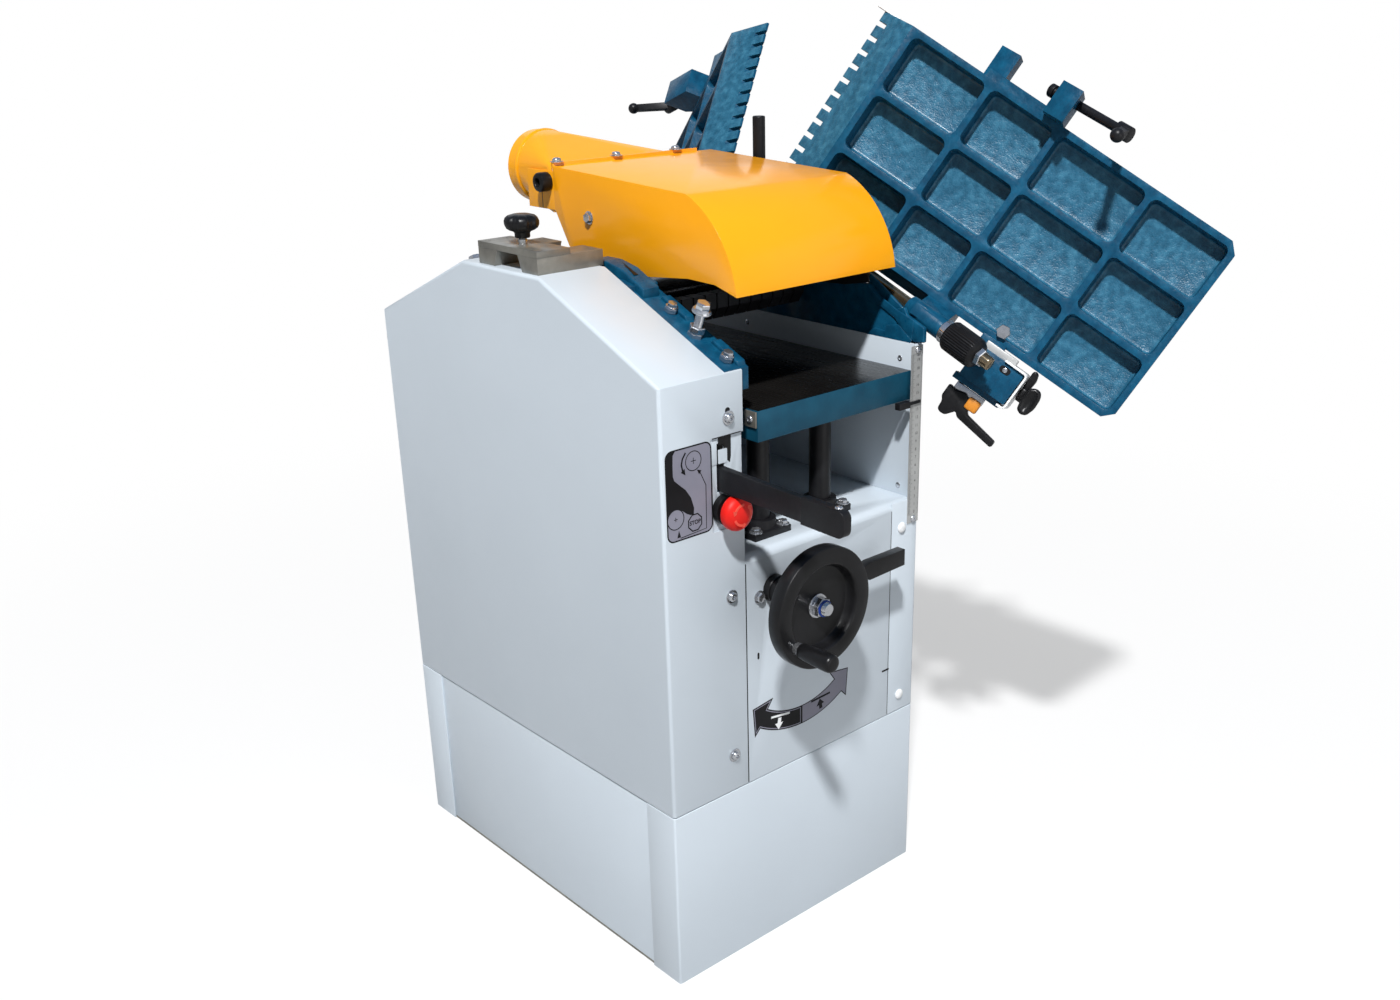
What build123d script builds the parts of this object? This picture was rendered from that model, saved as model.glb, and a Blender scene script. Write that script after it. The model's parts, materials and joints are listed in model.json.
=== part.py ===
from build123d import *
import os
from math import atan2, cos, degrees, radians, sin, tan

# Cabinet and plinth
cabinet_width = 400.0
cabinet_depth = 550.0
plinth_height = 226.0
sheet = 2.0
floor_plate = 3.0
plinth_return = 50.0
flange = 18.0
bay_floor_height = 513.0
wall_drop = 65.0
corner_strip = 47.0
ruler_strip = 13.0
bend_radius = 4.0

# Drive cover on the left
cover_width = 113.0
cover_band = 90.0
peak_rise = 4.0
shoulder_drop = 85.0
peak_length = 153.0
window_width = 45.0
window_rise = 40.0
window_height = 104.0

# Castings beside the work passage
bay_left = 131.0
casting_wall = 17.5
rail_depth = 24.0
rail_sink = 6.0
casting_inset = 10.0
wall_recess = 35.0
rail_step_y = 117.0
plate_casting = 7.8
plate_casting_gap = 0.2
plate_shoulder = 42.0
boss_wall = 7.0
boss_proud = 9.0
seat_drop = 9.0
post_radius = 8.0
post_height = 137.0
post_socket = 12.0

# Cutterblock and its drive
cutter_y = 15.0
plane_height = 805.0
cutting_radius = 36.0
cutter_body_radius = 34.0
cutter_journal = 15.0
shaft_passage = 5.0
knife_thickness = 3.0
knife_depth = 14.0
bearing_radius = 24.0
running_clearance = 0.05
seat_clearance = 0.02
cutter_pulley_radius = 26.0
motor_pulley_radius = 48.0
belt_thickness = 7.0
belt_width = 20.0
pulley_width = 26.0
motor_y = 60.0
motor_height = 330.0
motor_radius = 70.0
motor_length = 190.0
motor_shaft = 12.0
motor_flange = 15.0
terminal_box = 80.0

# Feed rollers and kickback fingers
roller_radius = 15.0
roller_spacing = 124.0
roller_journal = 9.0
roller_drop = 1.0
finger_bar_radius = 6.0
finger_count = 14
finger_reach = 23.0
finger_gap = 2.0
feed_wheel_radius = 55.0
feed_wheel_width = 14.0
feed_axle = 7.0
gearbox_depth = 12.5

# Thickness table and its lift
table_width = 247.0
table_setback = 5.0
opening_height = 61.0
table_depth = 35.0
table_plate = 12.0
table_rim = 10.0
column_radius = 13.0
column_x = 27.5
column_spacing = 99.0
column_inset = 43.0
column_tail = 113.0
foot_plate = 8.0
foot_collar = 10.0
screw_radius = 9.0
screw_setback = 150.0
wheel_x = -45.0
wheel_drop = 49.0
bevel_radius = 22.0
bevel_face = 10.0
bevel_gap = 0.5
wheel_shaft_radius = 8.0

# Handwheel, lock lever and controls
bush_length = 22.0
bush_radius = 23.0
wheel_radius = 70.0
rim_radius = 9.0
hub_radius = 19.0
hub_length = 20.0
grip_side = 44.0
grip_drop = 33.0
rim_forward = 24.0
grip_pin = 3.5
grip_length = 56.0
lock_lever_length = 176.0
lock_hub = 17.0
lock_width = 22.0
estop_x = -115.0
estop_rise = 23.5
estop_barrel = 11.0
stem_radius = 8.0
head_radius = 19.5
lever_x = -118.0
lever_rise = 60.0
lever_thickness = 8.0
lever_depth = 26.0
lever_reach = 184.0
pin_radius = 6.0
pin_setback = 95.0
lever_dip = 1.2
ruler_tail = 32.0
ruler_width = 19.5

# Suction hood
hood_left = 135.0
hood_right = 383.0
hood_sheet = 2.0
outlet_radius = 50.0
outlet_x = -16.0
outlet_rise = 84.0
outlet_reach = 163.0
collar_length = 25.0
hood_front = 258.9
hood_fold = 179.0
hood_back = 64.0
hood_fold_rise = 86.5
hood_bulge = 216.2
hood_bulge_rise = 64.6
hood_back_rise = 97.0
duct_flange = 4.0
duct_mouth = 52.0
cheek_length = 53.0
cheek_height = 45.0

# Fence bracket
rail_left = 7.0
rail_length = 88.0
rail_width = 38.0
rail_height = 18.0
bracket_front = -67.0
bracket_depth = 116.0
clamp_plate_length = 44.0
clamp_plate = 7.0
stud_radius = 5.0
knob_radius = 20.0
knob_height = 26.0

# Folding planer tables
hinge_x = 209.0
hinge_rise = 42.2
slide_angle = 22.0
fold_front = 118.0
fold_rear = 126.2
planer_length = 510.0
planer_width = 243.0
planer_right = 187.0
planer_rim = 40.0
planer_skin = 10.0
planer_rib = 8.0
pocket_corner = 9.0
pocket_draft = 3.0
corner = 12.0
relief = 26.0
pocket_shares = (0.25, 0.29, 0.21, 0.25)
lip_gap = 19.0
lip_thickness = 3.0
lip_back = 68.0
comb_pitch = 19.3
comb_width = 6.0
comb_depth = 14.0
shaft_radius = 8.0
boss_radius = 13.0
depth_knob_radius = 18.5
depth_knob_length = 56.0
spindle_radius = 5.5
bolt_stand = 12.0
ball_radius = 8.0
lug_width = 28.0
lug_strip = 9.0
clamp_reach = 88.0
clamp_crank = 20.0

# Cutter guard bracket
guard_block = 50.0
guard_width = 42.0
guard_reach = 64.0
guard_strap = 8.0
guard_pin = 5.0

half_w = cabinet_width / 2
half_d = cabinet_depth / 2
cover_peak = plane_height + peak_rise
cover_shoulder = cover_peak - shoulder_drop
window_bottom = bay_floor_height + window_rise
wheel_height = bay_floor_height - wheel_drop
estop_height = window_bottom + estop_rise
lever_height = window_bottom + lever_rise
seat_height = plane_height - seat_drop
hinge_height = plane_height + hinge_rise
outlet_height = plane_height + outlet_rise
outlet_rim = cutter_y + outlet_reach
cover_right = cover_width - half_w
band_right = cover_band - half_w
bay_left_x = bay_left - half_w
wall_left_x = bay_left_x - casting_wall
bay_right_x = half_w - ruler_strip
plate_left_x = bay_right_x + sheet + plate_casting_gap
plate_right_x = plate_left_x + plate_casting
strip_left_x = half_w - corner_strip
cutter_z = plane_height - cutting_radius
right_wall_height = cutter_z - wall_drop
roller_z = cutter_z - cutting_radius - roller_drop + roller_radius
infeed_y = cutter_y - roller_spacing / 2
outfeed_y = cutter_y + roller_spacing / 2
floor_top = plinth_height + floor_plate
table_left_x = bay_right_x - 1 - table_width
table_right_x = bay_right_x - 1
table_top = cutter_z - cutting_radius - opening_height
table_bottom = table_top - table_depth
plate_bottom = table_top - table_plate
front_y = -half_d
table_front = half_d - table_setback
column_y = table_front - column_inset
screw_y = front_y + screw_setback
cover_slope = (cover_peak - cover_shoulder) / (half_d - peak_length / 2)
slide_rise = tan(radians(slide_angle))
slide_cos = cos(radians(slide_angle))


def block(x0, x1, y0, y1, z0, z1):
    return Pos((x0 + x1) / 2, (y0 + y1) / 2, (z0 + z1) / 2) * Box(x1 - x0, y1 - y0, z1 - z0)


def rod_x(x0, x1, y, z, r):
    return Pos((x0 + x1) / 2, y, z) * Rot(0, 90, 0) * Cylinder(r, x1 - x0)


def rod_y(x, y0, y1, z, r):
    return Pos(x, (y0 + y1) / 2, z) * Rot(90, 0, 0) * Cylinder(r, y1 - y0)


def rod_z(x, y, z0, z1, r):
    return Pos(x, y, (z0 + z1) / 2) * Cylinder(r, z1 - z0)


def prism_x(points, x0, x1):
    return extrude(Plane.YZ.offset(x0) * make_face(Polyline(*points, close=True)), amount=x1 - x0)


def prism_y(points, y0, y1):
    return extrude(Plane.XZ.offset(-y1) * make_face(Polyline(*points, close=True)), amount=y1 - y0)


def prism_z(points, z0, z1):
    return extrude(Plane.XY.offset(z0) * make_face(Polyline(*points, close=True)), amount=z1 - z0)


def hex_z(x, y, z0, z1, r):
    return extrude(Plane.XY.offset(z0) * Pos(x, y) * RegularPolygon(r, 6), amount=z1 - z0)


def swap_ends(shape):
    return mirror(shape, about=Plane.XZ)


def to_rear(shape):
    return mirror(shape, about=Plane.XZ.offset(-cutter_y))


def incline(shape):
    return shape.rotate(Axis((0, cutter_y, hinge_height), (1, 0, 0)), slide_angle)


def fold_up_front(shape):
    line = Axis((hinge_x, cutter_y, hinge_height), (0, slide_cos, sin(radians(slide_angle))))
    return shape.rotate(line, fold_front)


def fold_up_rear(shape):
    line = Axis((hinge_x, cutter_y, hinge_height), (0, slide_cos, -sin(radians(slide_angle))))
    return shape.rotate(line, fold_rear)


def shaft_z(y):
    return hinge_height + (y - cutter_y) * slide_rise


def cover_line(y):
    return cover_shoulder + cover_slope * (y + half_d)


def cover_profile(inset, bottom):
    drop = inset / cos(atan2(cover_slope, 1))
    edge_y = half_d - inset
    edge_z = cover_shoulder + cover_slope * inset - drop
    top_z = cover_peak - inset
    top_y = edge_y - (top_z - edge_z) / cover_slope
    return [(-edge_y, bottom), (-edge_y, edge_z), (-top_y, top_z),
            (top_y, top_z), (edge_y, edge_z), (edge_y, bottom)]


parts = {}

# Plinth: base plate, two wrapped end panels and two side panels behind their returns
parts["plinth_base"] = block(-half_w + sheet, half_w - sheet, -half_d + sheet, half_d - sheet, 0,
                             floor_plate)
plinth_end = block(-half_w, half_w, front_y, front_y + sheet, 0, plinth_height)
for x0 in (-half_w, half_w - sheet):
    plinth_end += block(x0, x0 + sheet, front_y, front_y + plinth_return, 0, plinth_height)
plinth_end += block(-half_w + sheet, half_w - sheet, front_y + sheet, front_y + sheet + flange,
                    plinth_height - sheet, plinth_height)
parts["plinth_front_panel"] = plinth_end
parts["plinth_back_panel"] = swap_ends(plinth_end)
side_reach = half_d - plinth_return + 20
plinth_side = block(-half_w + sheet, -half_w + 2 * sheet, -side_reach, side_reach, floor_plate,
                    plinth_height)
plinth_side += block(-half_w + 2 * sheet, -half_w + sheet + flange, -side_reach, side_reach,
                     plinth_height - sheet, plinth_height)
parts["plinth_side_panels"] = Compound(children=[plinth_side, mirror(plinth_side, about=Plane.YZ)])
cabinet_floor = block(-half_w + sheet, half_w - sheet, -half_d + sheet, half_d - sheet, plinth_height,
                      floor_top)
parts["cabinet_floor"] = fillet(cabinet_floor.edges().filter_by(Axis.Z), bend_radius)

# Drive cover: a folded sheet shell open towards the casting
outer = prism_x(cover_profile(0, plinth_height), -half_w, cover_right)
outer_edges = [e for e in outer.faces().sort_by(Axis.X)[0].edges() if e.center().Z > plinth_height + 1]
outer = fillet(outer_edges, bend_radius)
inner = prism_x(cover_profile(sheet, plinth_height - 5), -half_w + sheet, cover_right + 5)
inner_edges = [e for e in inner.faces().sort_by(Axis.X)[0].edges() if e.center().Z > plinth_height]
inner = fillet(inner_edges, bend_radius - sheet)
window_left = cover_right - window_width
cover = outer - inner
cover -= block(band_right, cover_right + 5, -half_d + sheet, half_d - sheet, cover_shoulder - 60,
               cover_peak + 5)
cover -= block(window_left, cover_right + 5, front_y - 5, front_y + sheet,
               window_bottom, window_bottom + window_height)
parts["left_cover"] = cover

# Control plate behind the window, with the lever gate and the stop switch hole
plate = block(window_left - 5, cover_right - 1, front_y + sheet, front_y + 2 * sheet,
              window_bottom - 8, window_bottom + window_height + 8)
gate_half = lever_thickness / 2 + 1.5
gate_low = lever_height - lever_depth / 2 - pin_setback * tan(radians(lever_dip)) - 2
plate -= block(lever_x - gate_half, lever_x + gate_half, front_y, front_y + 5, gate_low, gate_low + 54)
plate -= block(lever_x - gate_half - 8, lever_x + gate_half, front_y, front_y + 5, gate_low + 37,
               gate_low + 54)
plate -= rod_y(estop_x, front_y, front_y + 5, estop_height, estop_barrel + seat_clearance)
parts["control_plate"] = plate

# Left casting: upright wall with a wide rail that the planer tables rest on
rail_end = half_d - casting_inset
step_y = rail_step_y
fence_y = bracket_front


def rail_height_at(y):
    return cover_line(y) - rail_sink


step_z = rail_height_at(-step_y)
casting_top = [(-rail_end, rail_height_at(-rail_end)), (-step_y, step_z), (-step_y, step_z + 6),
               (-step_y + 18, seat_height), (step_y - 18, seat_height), (step_y, step_z + 6),
               (step_y, step_z),
               (rail_end, rail_height_at(-rail_end))]
wall_end = rail_end - wall_recess
wall_neck = rail_height_at(-wall_end) - rail_depth
rail_low = rail_height_at(-rail_end) - rail_depth
wall_foot = [(-wall_end, floor_top), (-wall_end, wall_neck), (-rail_end, rail_low)]
wall_back = [(-y, z) for y, z in reversed(wall_foot)]
wall = prism_x(wall_foot + casting_top + wall_back, wall_left_x, bay_left_x)
rail_under = [(y, z - rail_depth) for y, z in reversed(casting_top)]
left_casting = wall + prism_x(casting_top + rail_under, band_right + 1, wall_left_x)
left_casting -= rod_x(wall_left_x, bay_left_x, cutter_y, cutter_z, bearing_radius + seat_clearance)
left_casting -= rod_x(band_right, wall_left_x, cutter_y, cutter_z, cutter_journal + shaft_passage)
for y in (infeed_y, outfeed_y):
    left_casting -= rod_x(wall_left_x, bay_left_x, y, roller_z, roller_journal + running_clearance)
pin_y = front_y + pin_setback
left_casting += rod_x(lever_x - 10, wall_left_x, pin_y, lever_height, pin_radius)
left_casting -= rod_x(wall_left_x, bay_left_x, motor_y, motor_height, motor_shaft + 3)
parts["left_casting"] = left_casting

# Right casting: a thin plate with outward bosses for the bearing, the hinge shafts and the stop post
shaft_seat_out = cutter_y - 140
shaft_seat_in = cutter_y - 100
shoulder_z = plane_height - plate_shoulder
plate_half = [(-rail_end, floor_top), (-rail_end, right_wall_height + 2), (-half_d + 80, shoulder_z),
              (shaft_seat_out - 1, shoulder_z), (shaft_seat_out - 1, plane_height - 15),
              (shaft_seat_in, plane_height + 1)]
plate_back = [(2 * cutter_y - y, z) for y, z in reversed(plate_half[2:])]
plate_back += [(rail_end, right_wall_height + 2), (rail_end, floor_top)]
right_casting = prism_x(plate_half + plate_back, plate_left_x, plate_right_x)
right_casting += rod_x(plate_right_x, plate_right_x + boss_proud, cutter_y, cutter_z,
                       bearing_radius + boss_wall)
seat_middle = (shaft_seat_out + shaft_seat_in) / 2
seat_length = (shaft_seat_in - shaft_seat_out) / slide_cos
seat_run = (seat_middle - cutter_y) / slide_cos
seat = rod_y(hinge_x, cutter_y + seat_run - seat_length / 2, cutter_y + seat_run + seat_length / 2,
             hinge_height, boss_radius + 2)
web = block(plate_left_x, hinge_x, cutter_y + seat_run - seat_length / 2,
            cutter_y + seat_run + seat_length / 2,
            hinge_height - 8, hinge_height + 8)
bore = rod_y(hinge_x, cutter_y - 500, cutter_y - 40, hinge_height, shaft_radius + running_clearance)
seat = incline(seat + web - bore)
right_casting += seat + to_rear(seat)
post_base = plane_height + 3
right_casting += block(plate_right_x, hinge_x + post_radius + 4, cutter_y - 14, cutter_y + 14,
                       post_base - 20, post_base + post_socket)
right_casting -= rod_z(hinge_x, cutter_y, post_base, post_base + post_socket, post_radius + seat_clearance)
right_casting -= rod_x(plate_left_x, plate_right_x + boss_proud, cutter_y, cutter_z,
                       bearing_radius + seat_clearance)
for y in (infeed_y, outfeed_y):
    right_casting -= rod_x(plate_left_x, plate_right_x, y, roller_z, roller_journal + running_clearance)
parts["right_casting"] = right_casting
parts["table_stop_post"] = rod_z(hinge_x, cutter_y, post_base, post_base + post_height, post_radius)

# Right side panel with returns, inner wall, bent front panel with the bay floor, back panel
side = block(half_w - sheet, half_w, -half_d, half_d, plinth_height, right_wall_height)
for y0 in (-half_d, half_d - sheet):
    side += block(strip_left_x, half_w - sheet, y0, y0 + sheet, plinth_height, bay_floor_height)
    side += block(bay_right_x, half_w - sheet, y0, y0 + sheet, bay_floor_height, right_wall_height)
parts["right_side_panel"] = side
parts["right_inner_wall"] = block(bay_right_x, bay_right_x + sheet, -half_d + sheet, half_d - sheet,
                                  bay_floor_height, right_wall_height)
fold_outer = 10.0
front_profile = make_face(Polyline((front_y, plinth_height), (front_y, bay_floor_height),
                                   (half_d - sheet, bay_floor_height),
                                   (half_d - sheet, bay_floor_height - sheet),
                                   (front_y + sheet, bay_floor_height - sheet),
                                   (front_y + sheet, plinth_height),
                                   close=True))
bend = front_profile.vertices().sort_by_distance((front_y, bay_floor_height))
front_profile = fillet(bend[0], fold_outer)
inner_bend = front_profile.vertices().sort_by_distance((front_y + sheet, bay_floor_height - sheet))
front_profile = fillet(inner_bend[0], fold_outer - sheet)
front_panel = extrude(Plane.YZ.offset(cover_right) * front_profile, amount=plate_left_x - cover_right)
front_panel -= block(strip_left_x, plate_left_x, front_y - 1, front_y + sheet, plinth_height,
                     bay_floor_height + 1)
front_panel -= block(cover_right, bay_left_x, -wall_end - 1, half_d, bay_floor_height - 30,
                     bay_floor_height + 1)
front_panel -= rod_y(wheel_x, front_y - 1, front_y + sheet + 1, wheel_height, wheel_shaft_radius + 2)
column_places = [(column_x + i * column_spacing / 2, j * column_y) for i in (-1, 1) for j in (-1, 1)]
for x, y in column_places:
    front_panel -= rod_z(x, y, bay_floor_height - 5, bay_floor_height + 5, column_radius + 3)
front_panel -= rod_z(wheel_x, screw_y, bay_floor_height - 5, bay_floor_height + 5, screw_radius + 3)
parts["front_panel"] = front_panel
parts["back_panel"] = block(cover_right, strip_left_x, half_d - sheet, half_d, plinth_height,
                            bay_floor_height)

# Cutterblock with three knives, bearings, pulley, belt and motor
pulley_right = wall_left_x - 28
pulley_left = pulley_right - pulley_width
cutter_end = pulley_left - 28
cutter = rod_x(bay_left_x + 13, plate_left_x - 5, cutter_y, cutter_z, cutter_body_radius)
cutter += rod_x(cutter_end, plate_right_x + boss_proud - 2, cutter_y, cutter_z, cutter_journal)
knives = []
for turn in (20, 140, 260):
    spin = Axis((0, cutter_y, cutter_z), (1, 0, 0))
    knife = block(bay_left_x + 13, plate_left_x - 5, cutter_y - knife_thickness / 2,
                  cutter_y + knife_thickness / 2,
                  cutter_z + cutting_radius - knife_depth, cutter_z + cutting_radius)
    knives.append(knife.rotate(spin, turn))
    cutter -= knives[-1]
parts["cutterblock"] = cutter
parts["cutter_knives"] = Compound(children=knives)
bearings = []
for x0, x1 in ((wall_left_x + 1, bay_left_x - 1), (plate_left_x + 1, plate_right_x + boss_proud - 1)):
    ring = rod_x(x0, x1, cutter_y, cutter_z, bearing_radius)
    bearings.append(ring - rod_x(x0, x1, cutter_y, cutter_z, cutter_journal + running_clearance))
parts["cutter_bearings"] = Compound(children=bearings)


def belt_pulley(y, z, radius, shaft):
    wheel = rod_x(pulley_left, pulley_right, y, z, radius + belt_thickness - 2)
    middle = (pulley_left + pulley_right) / 2
    groove = rod_x(middle - belt_width / 2 - 0.5, middle + belt_width / 2 + 0.5, y, z, radius + 20)
    groove -= rod_x(middle - belt_width, middle + belt_width, y, z, radius - 0.3)
    return wheel - groove - rod_x(pulley_left, pulley_right, y, z, shaft + seat_clearance)


parts["cutter_pulley"] = belt_pulley(cutter_y, cutter_z, cutter_pulley_radius, cutter_journal)
motor_rotor = rod_x(pulley_left - 4, pulley_right + 4, motor_y, motor_height, motor_shaft - 4)
motor_rotor += rod_x(pulley_right, bay_left_x + 20, motor_y, motor_height, motor_shaft)
motor_pulley = belt_pulley(motor_y, motor_height, motor_pulley_radius, motor_shaft - 4)
parts["motor_rotor"] = Compound(children=[motor_rotor, motor_pulley])


def belt_outline(extra):
    circles = [Pos(cutter_y, cutter_z) * Circle(cutter_pulley_radius + extra),
               Pos(motor_y, motor_height) * Circle(motor_pulley_radius + extra)]
    return make_hull(circles[0].edges() + circles[1].edges())


belt_left = (pulley_left + pulley_right - belt_width) / 2
belt_face = belt_outline(belt_thickness) - belt_outline(0)
parts["drive_belt"] = extrude(Plane.YZ.offset(belt_left) * belt_face, amount=belt_width)
motor = rod_x(bay_left_x, bay_left_x + 12, motor_y, motor_height, motor_radius + motor_flange)
motor += rod_x(bay_left_x, bay_left_x + motor_length, motor_y, motor_height, motor_radius)
motor += block(bay_left_x + 60, bay_left_x + 60 + terminal_box, motor_y - terminal_box / 2,
               motor_y + terminal_box / 2,
               motor_height, motor_height + motor_radius + 25)
motor -= rod_x(bay_left_x, bay_left_x + 24, motor_y, motor_height, motor_shaft + running_clearance)
parts["motor"] = motor

# Feed rollers, their closed gearbox, the friction wheel and the kickback fingers
box_left = wall_left_x - gearbox_depth
for name, y in (("infeed_roller", infeed_y), ("outfeed_roller", outfeed_y)):
    roller = rod_x(bay_left_x + 9, plate_left_x - 9, y, roller_z, roller_radius)
    parts[name] = roller + rod_x(box_left + 3, plate_right_x - 1, y, roller_z, roller_journal)
gearbox_points = [(infeed_y - 22, roller_z - 55), (outfeed_y + 22, roller_z - 55),
                  (outfeed_y + 22, roller_z + 20), (outfeed_y - 22, roller_z + 20),
                  (outfeed_y - 28, roller_z - 22), (infeed_y + 28, roller_z - 22),
                  (infeed_y + 22, roller_z + 20), (infeed_y - 22, roller_z + 20)]
gearbox = prism_x(gearbox_points, box_left, wall_left_x)
for y in (infeed_y, outfeed_y):
    gearbox -= rod_x(box_left + 2, wall_left_x, y, roller_z, roller_journal + running_clearance)
feed_wheel_y = infeed_y + 2
feed_wheel_z = roller_z - 15
gearbox += rod_x(cutter_end, box_left, feed_wheel_y, feed_wheel_z, feed_axle)
parts["feed_gearbox"] = gearbox
feed_wheel_end = cutter_end + feed_wheel_width
feed_wheel = rod_x(cutter_end, feed_wheel_end, feed_wheel_y, feed_wheel_z, feed_wheel_radius)
parts["feed_wheel"] = feed_wheel - rod_x(cutter_end, feed_wheel_end, feed_wheel_y, feed_wheel_z,
                                         feed_axle + running_clearance)
finger_y = infeed_y - 33
finger_z = roller_z + 3
parts["finger_bar"] = rod_x(bay_left_x, plate_left_x, finger_y, finger_z, finger_bar_radius)
finger_half = finger_bar_radius + 3
finger_profile = [(finger_y - finger_half, finger_z + finger_half),
                  (finger_y + finger_half, finger_z + finger_half),
                  (finger_y + finger_half, finger_z - finger_half), (finger_y, finger_z - finger_reach),
                  (finger_y - finger_half, finger_z - finger_half)]
finger_pitch = (plate_left_x - bay_left_x - 4) / finger_count
fingers = []
for i in range(finger_count):
    x0 = bay_left_x + 3 + i * finger_pitch
    finger = prism_x(finger_profile, x0, x0 + finger_pitch - finger_gap)
    fingers.append(finger - rod_x(x0, x0 + finger_pitch, finger_y, finger_z,
                                  finger_bar_radius + running_clearance))
parts["kickback_fingers"] = Compound(children=fingers)

# Thickness table on four columns, lifted by a screw that does not turn
table = block(table_left_x, table_right_x, -table_front, table_front, table_bottom, table_top)
table -= block(table_left_x + table_rim, table_right_x - table_rim, -table_front + table_rim,
               table_front - table_rim, table_bottom, plate_bottom)
for x, y in column_places:
    table += rod_z(x, y, table_bottom + 4, plate_bottom, column_radius + 9)
table += rod_z(wheel_x, screw_y, table_bottom + 4, plate_bottom, screw_radius + 9)
for x, y in column_places:
    table -= rod_z(x, y, table_bottom, plate_bottom, column_radius + seat_clearance)
table -= rod_z(wheel_x, screw_y, table_bottom, plate_bottom, screw_radius + seat_clearance)
table = table - block(table_left_x - 1, table_right_x + 1, -5, 5, table_bottom - 1, table_bottom)
parts["thickness_table"] = table
column_foot = bay_floor_height - column_tail
parts["lift_columns"] = Compound(children=[rod_z(x, y, column_foot, plate_bottom, column_radius)
                                           for x, y in column_places])
parts["lift_screw"] = rod_z(wheel_x, screw_y, column_foot, plate_bottom, screw_radius)
flanges = []
for x, y in column_places:
    foot = block(x - column_radius - 15, x + column_radius + 15, y - column_radius - 12,
                 y + column_radius + 12,
                 bay_floor_height, bay_floor_height + foot_plate)
    collar_top = bay_floor_height + foot_plate + foot_collar
    foot += rod_z(x, y, bay_floor_height + foot_plate, collar_top, column_radius + 7)
    flanges.append(foot - rod_z(x, y, bay_floor_height, collar_top, column_radius + running_clearance))
parts["column_flanges"] = Compound(children=flanges)

# Lift gear under the bay floor: a bevel nut round the screw and a pinion on the wheel shaft
gear_small = bevel_radius - bevel_face
gear_low = wheel_height + gear_small
gear_high = wheel_height + bevel_radius
gear_cone = Cone(gear_small - bevel_gap, bevel_radius - bevel_gap, bevel_face)
gear_nut = Pos(wheel_x, screw_y, (gear_low + gear_high) / 2) * gear_cone
gear_nut += rod_z(wheel_x, screw_y, gear_high, bay_floor_height - sheet - 1, bevel_radius - 8)
gear_nut -= rod_z(wheel_x, screw_y, gear_low - 1, bay_floor_height, screw_radius + running_clearance)
parts["lift_gear_nut"] = gear_nut
pinion_middle = screw_y - (gear_small + bevel_radius) / 2
pinion = Pos(wheel_x, pinion_middle, wheel_height) * Rot(90, 0, 0) * gear_cone
pinion += rod_y(wheel_x, screw_y - bevel_radius - 12, screw_y - bevel_radius, wheel_height,
                wheel_shaft_radius + 6)
pinion -= rod_y(wheel_x, screw_y - 60, screw_y, wheel_height, wheel_shaft_radius + seat_clearance)
bracket_back = screw_y - bevel_radius - 13
lift_bracket = block(wheel_x - 20, wheel_x + 30, bracket_back - 12, screw_y + 28, gear_high + 4,
                     bay_floor_height - sheet)
lift_bracket += block(wheel_x - 20, wheel_x + 30, bracket_back - 12, bracket_back, wheel_height - 20,
                      gear_high + 4)
lift_bracket -= rod_z(wheel_x, screw_y, gear_high, bay_floor_height, bevel_radius - 8 + running_clearance)
lift_bracket -= rod_y(wheel_x, bracket_back - 20, bracket_back + 5, wheel_height,
                      wheel_shaft_radius + running_clearance)
parts["lift_bracket"] = lift_bracket

# Handwheel with grip, nut, shaft, bush and the height lock lever
bush_front = front_y - bush_length
hub_back = bush_front - 28
hub_front = hub_back - hub_length
wheel_shaft = rod_y(wheel_x, hub_front - 9, screw_y - gear_small - 1, wheel_height, wheel_shaft_radius)
parts["wheel_shaft"] = Compound(children=[wheel_shaft, pinion])
bush = rod_y(wheel_x, bush_front, front_y, wheel_height, bush_radius)
parts["wheel_bush"] = bush - rod_y(wheel_x, bush_front, front_y, wheel_height,
                                   wheel_shaft_radius + running_clearance)
rim_y = hub_back - rim_forward
ring_radius = wheel_radius - rim_radius
web_back = -rim_radius
web_front = web_back + 5
wheel_bore = wheel_shaft_radius + seat_clearance
dish = [(wheel_bore, rim_y - hub_back), (hub_radius, rim_y - hub_back), (hub_radius + 4, web_back),
        (ring_radius - rim_radius / 2, web_back)]
face_side = [(ring_radius - rim_radius / 2, rim_radius), (ring_radius - rim_radius, web_front),
             (wheel_bore, web_front)]
rim_start = Polyline(*dish)
rim_curve = ThreePointArc(dish[-1], (wheel_radius, 0), face_side[0])
rim_end = Polyline(*face_side)
bore_line = Line(face_side[-1], dish[0])
wheel_face = make_face([rim_start, rim_curve, rim_end, bore_line])
turned = revolve(wheel_face, Axis.Y)
handwheel = Pos(wheel_x, rim_y, wheel_height) * Rot(180, 0, 0) * turned
grip_x = wheel_x - grip_side
grip_z = wheel_height - grip_drop
grip_back = rim_y - rim_radius - 2
handwheel += rod_y(grip_x, grip_back, rim_y, grip_z, 7)
handwheel += rod_y(grip_x, grip_back - grip_length + 6, grip_back, grip_z, grip_pin)
parts["handwheel"] = handwheel
grip_bore = grip_pin + running_clearance
grip_profile = [(grip_bore, 0), (8, 0), (9.5, 6), (11.5, grip_length * 0.7), (9, grip_length - 2),
                (grip_bore, grip_length - 2)]
grip = revolve(Plane.XY * make_face(Polyline(*grip_profile, close=True)), Axis.Y)
parts["wheel_grip"] = Pos(grip_x, grip_back - 0.3, grip_z) * Rot(180, 0, 0) * grip
lock_back = bush_front - 0.5
lock_front = lock_back - lock_width
lock_lever = rod_y(wheel_x, lock_front, lock_back, wheel_height, lock_hub)
lock_tip = wheel_x + lock_lever_length
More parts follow.
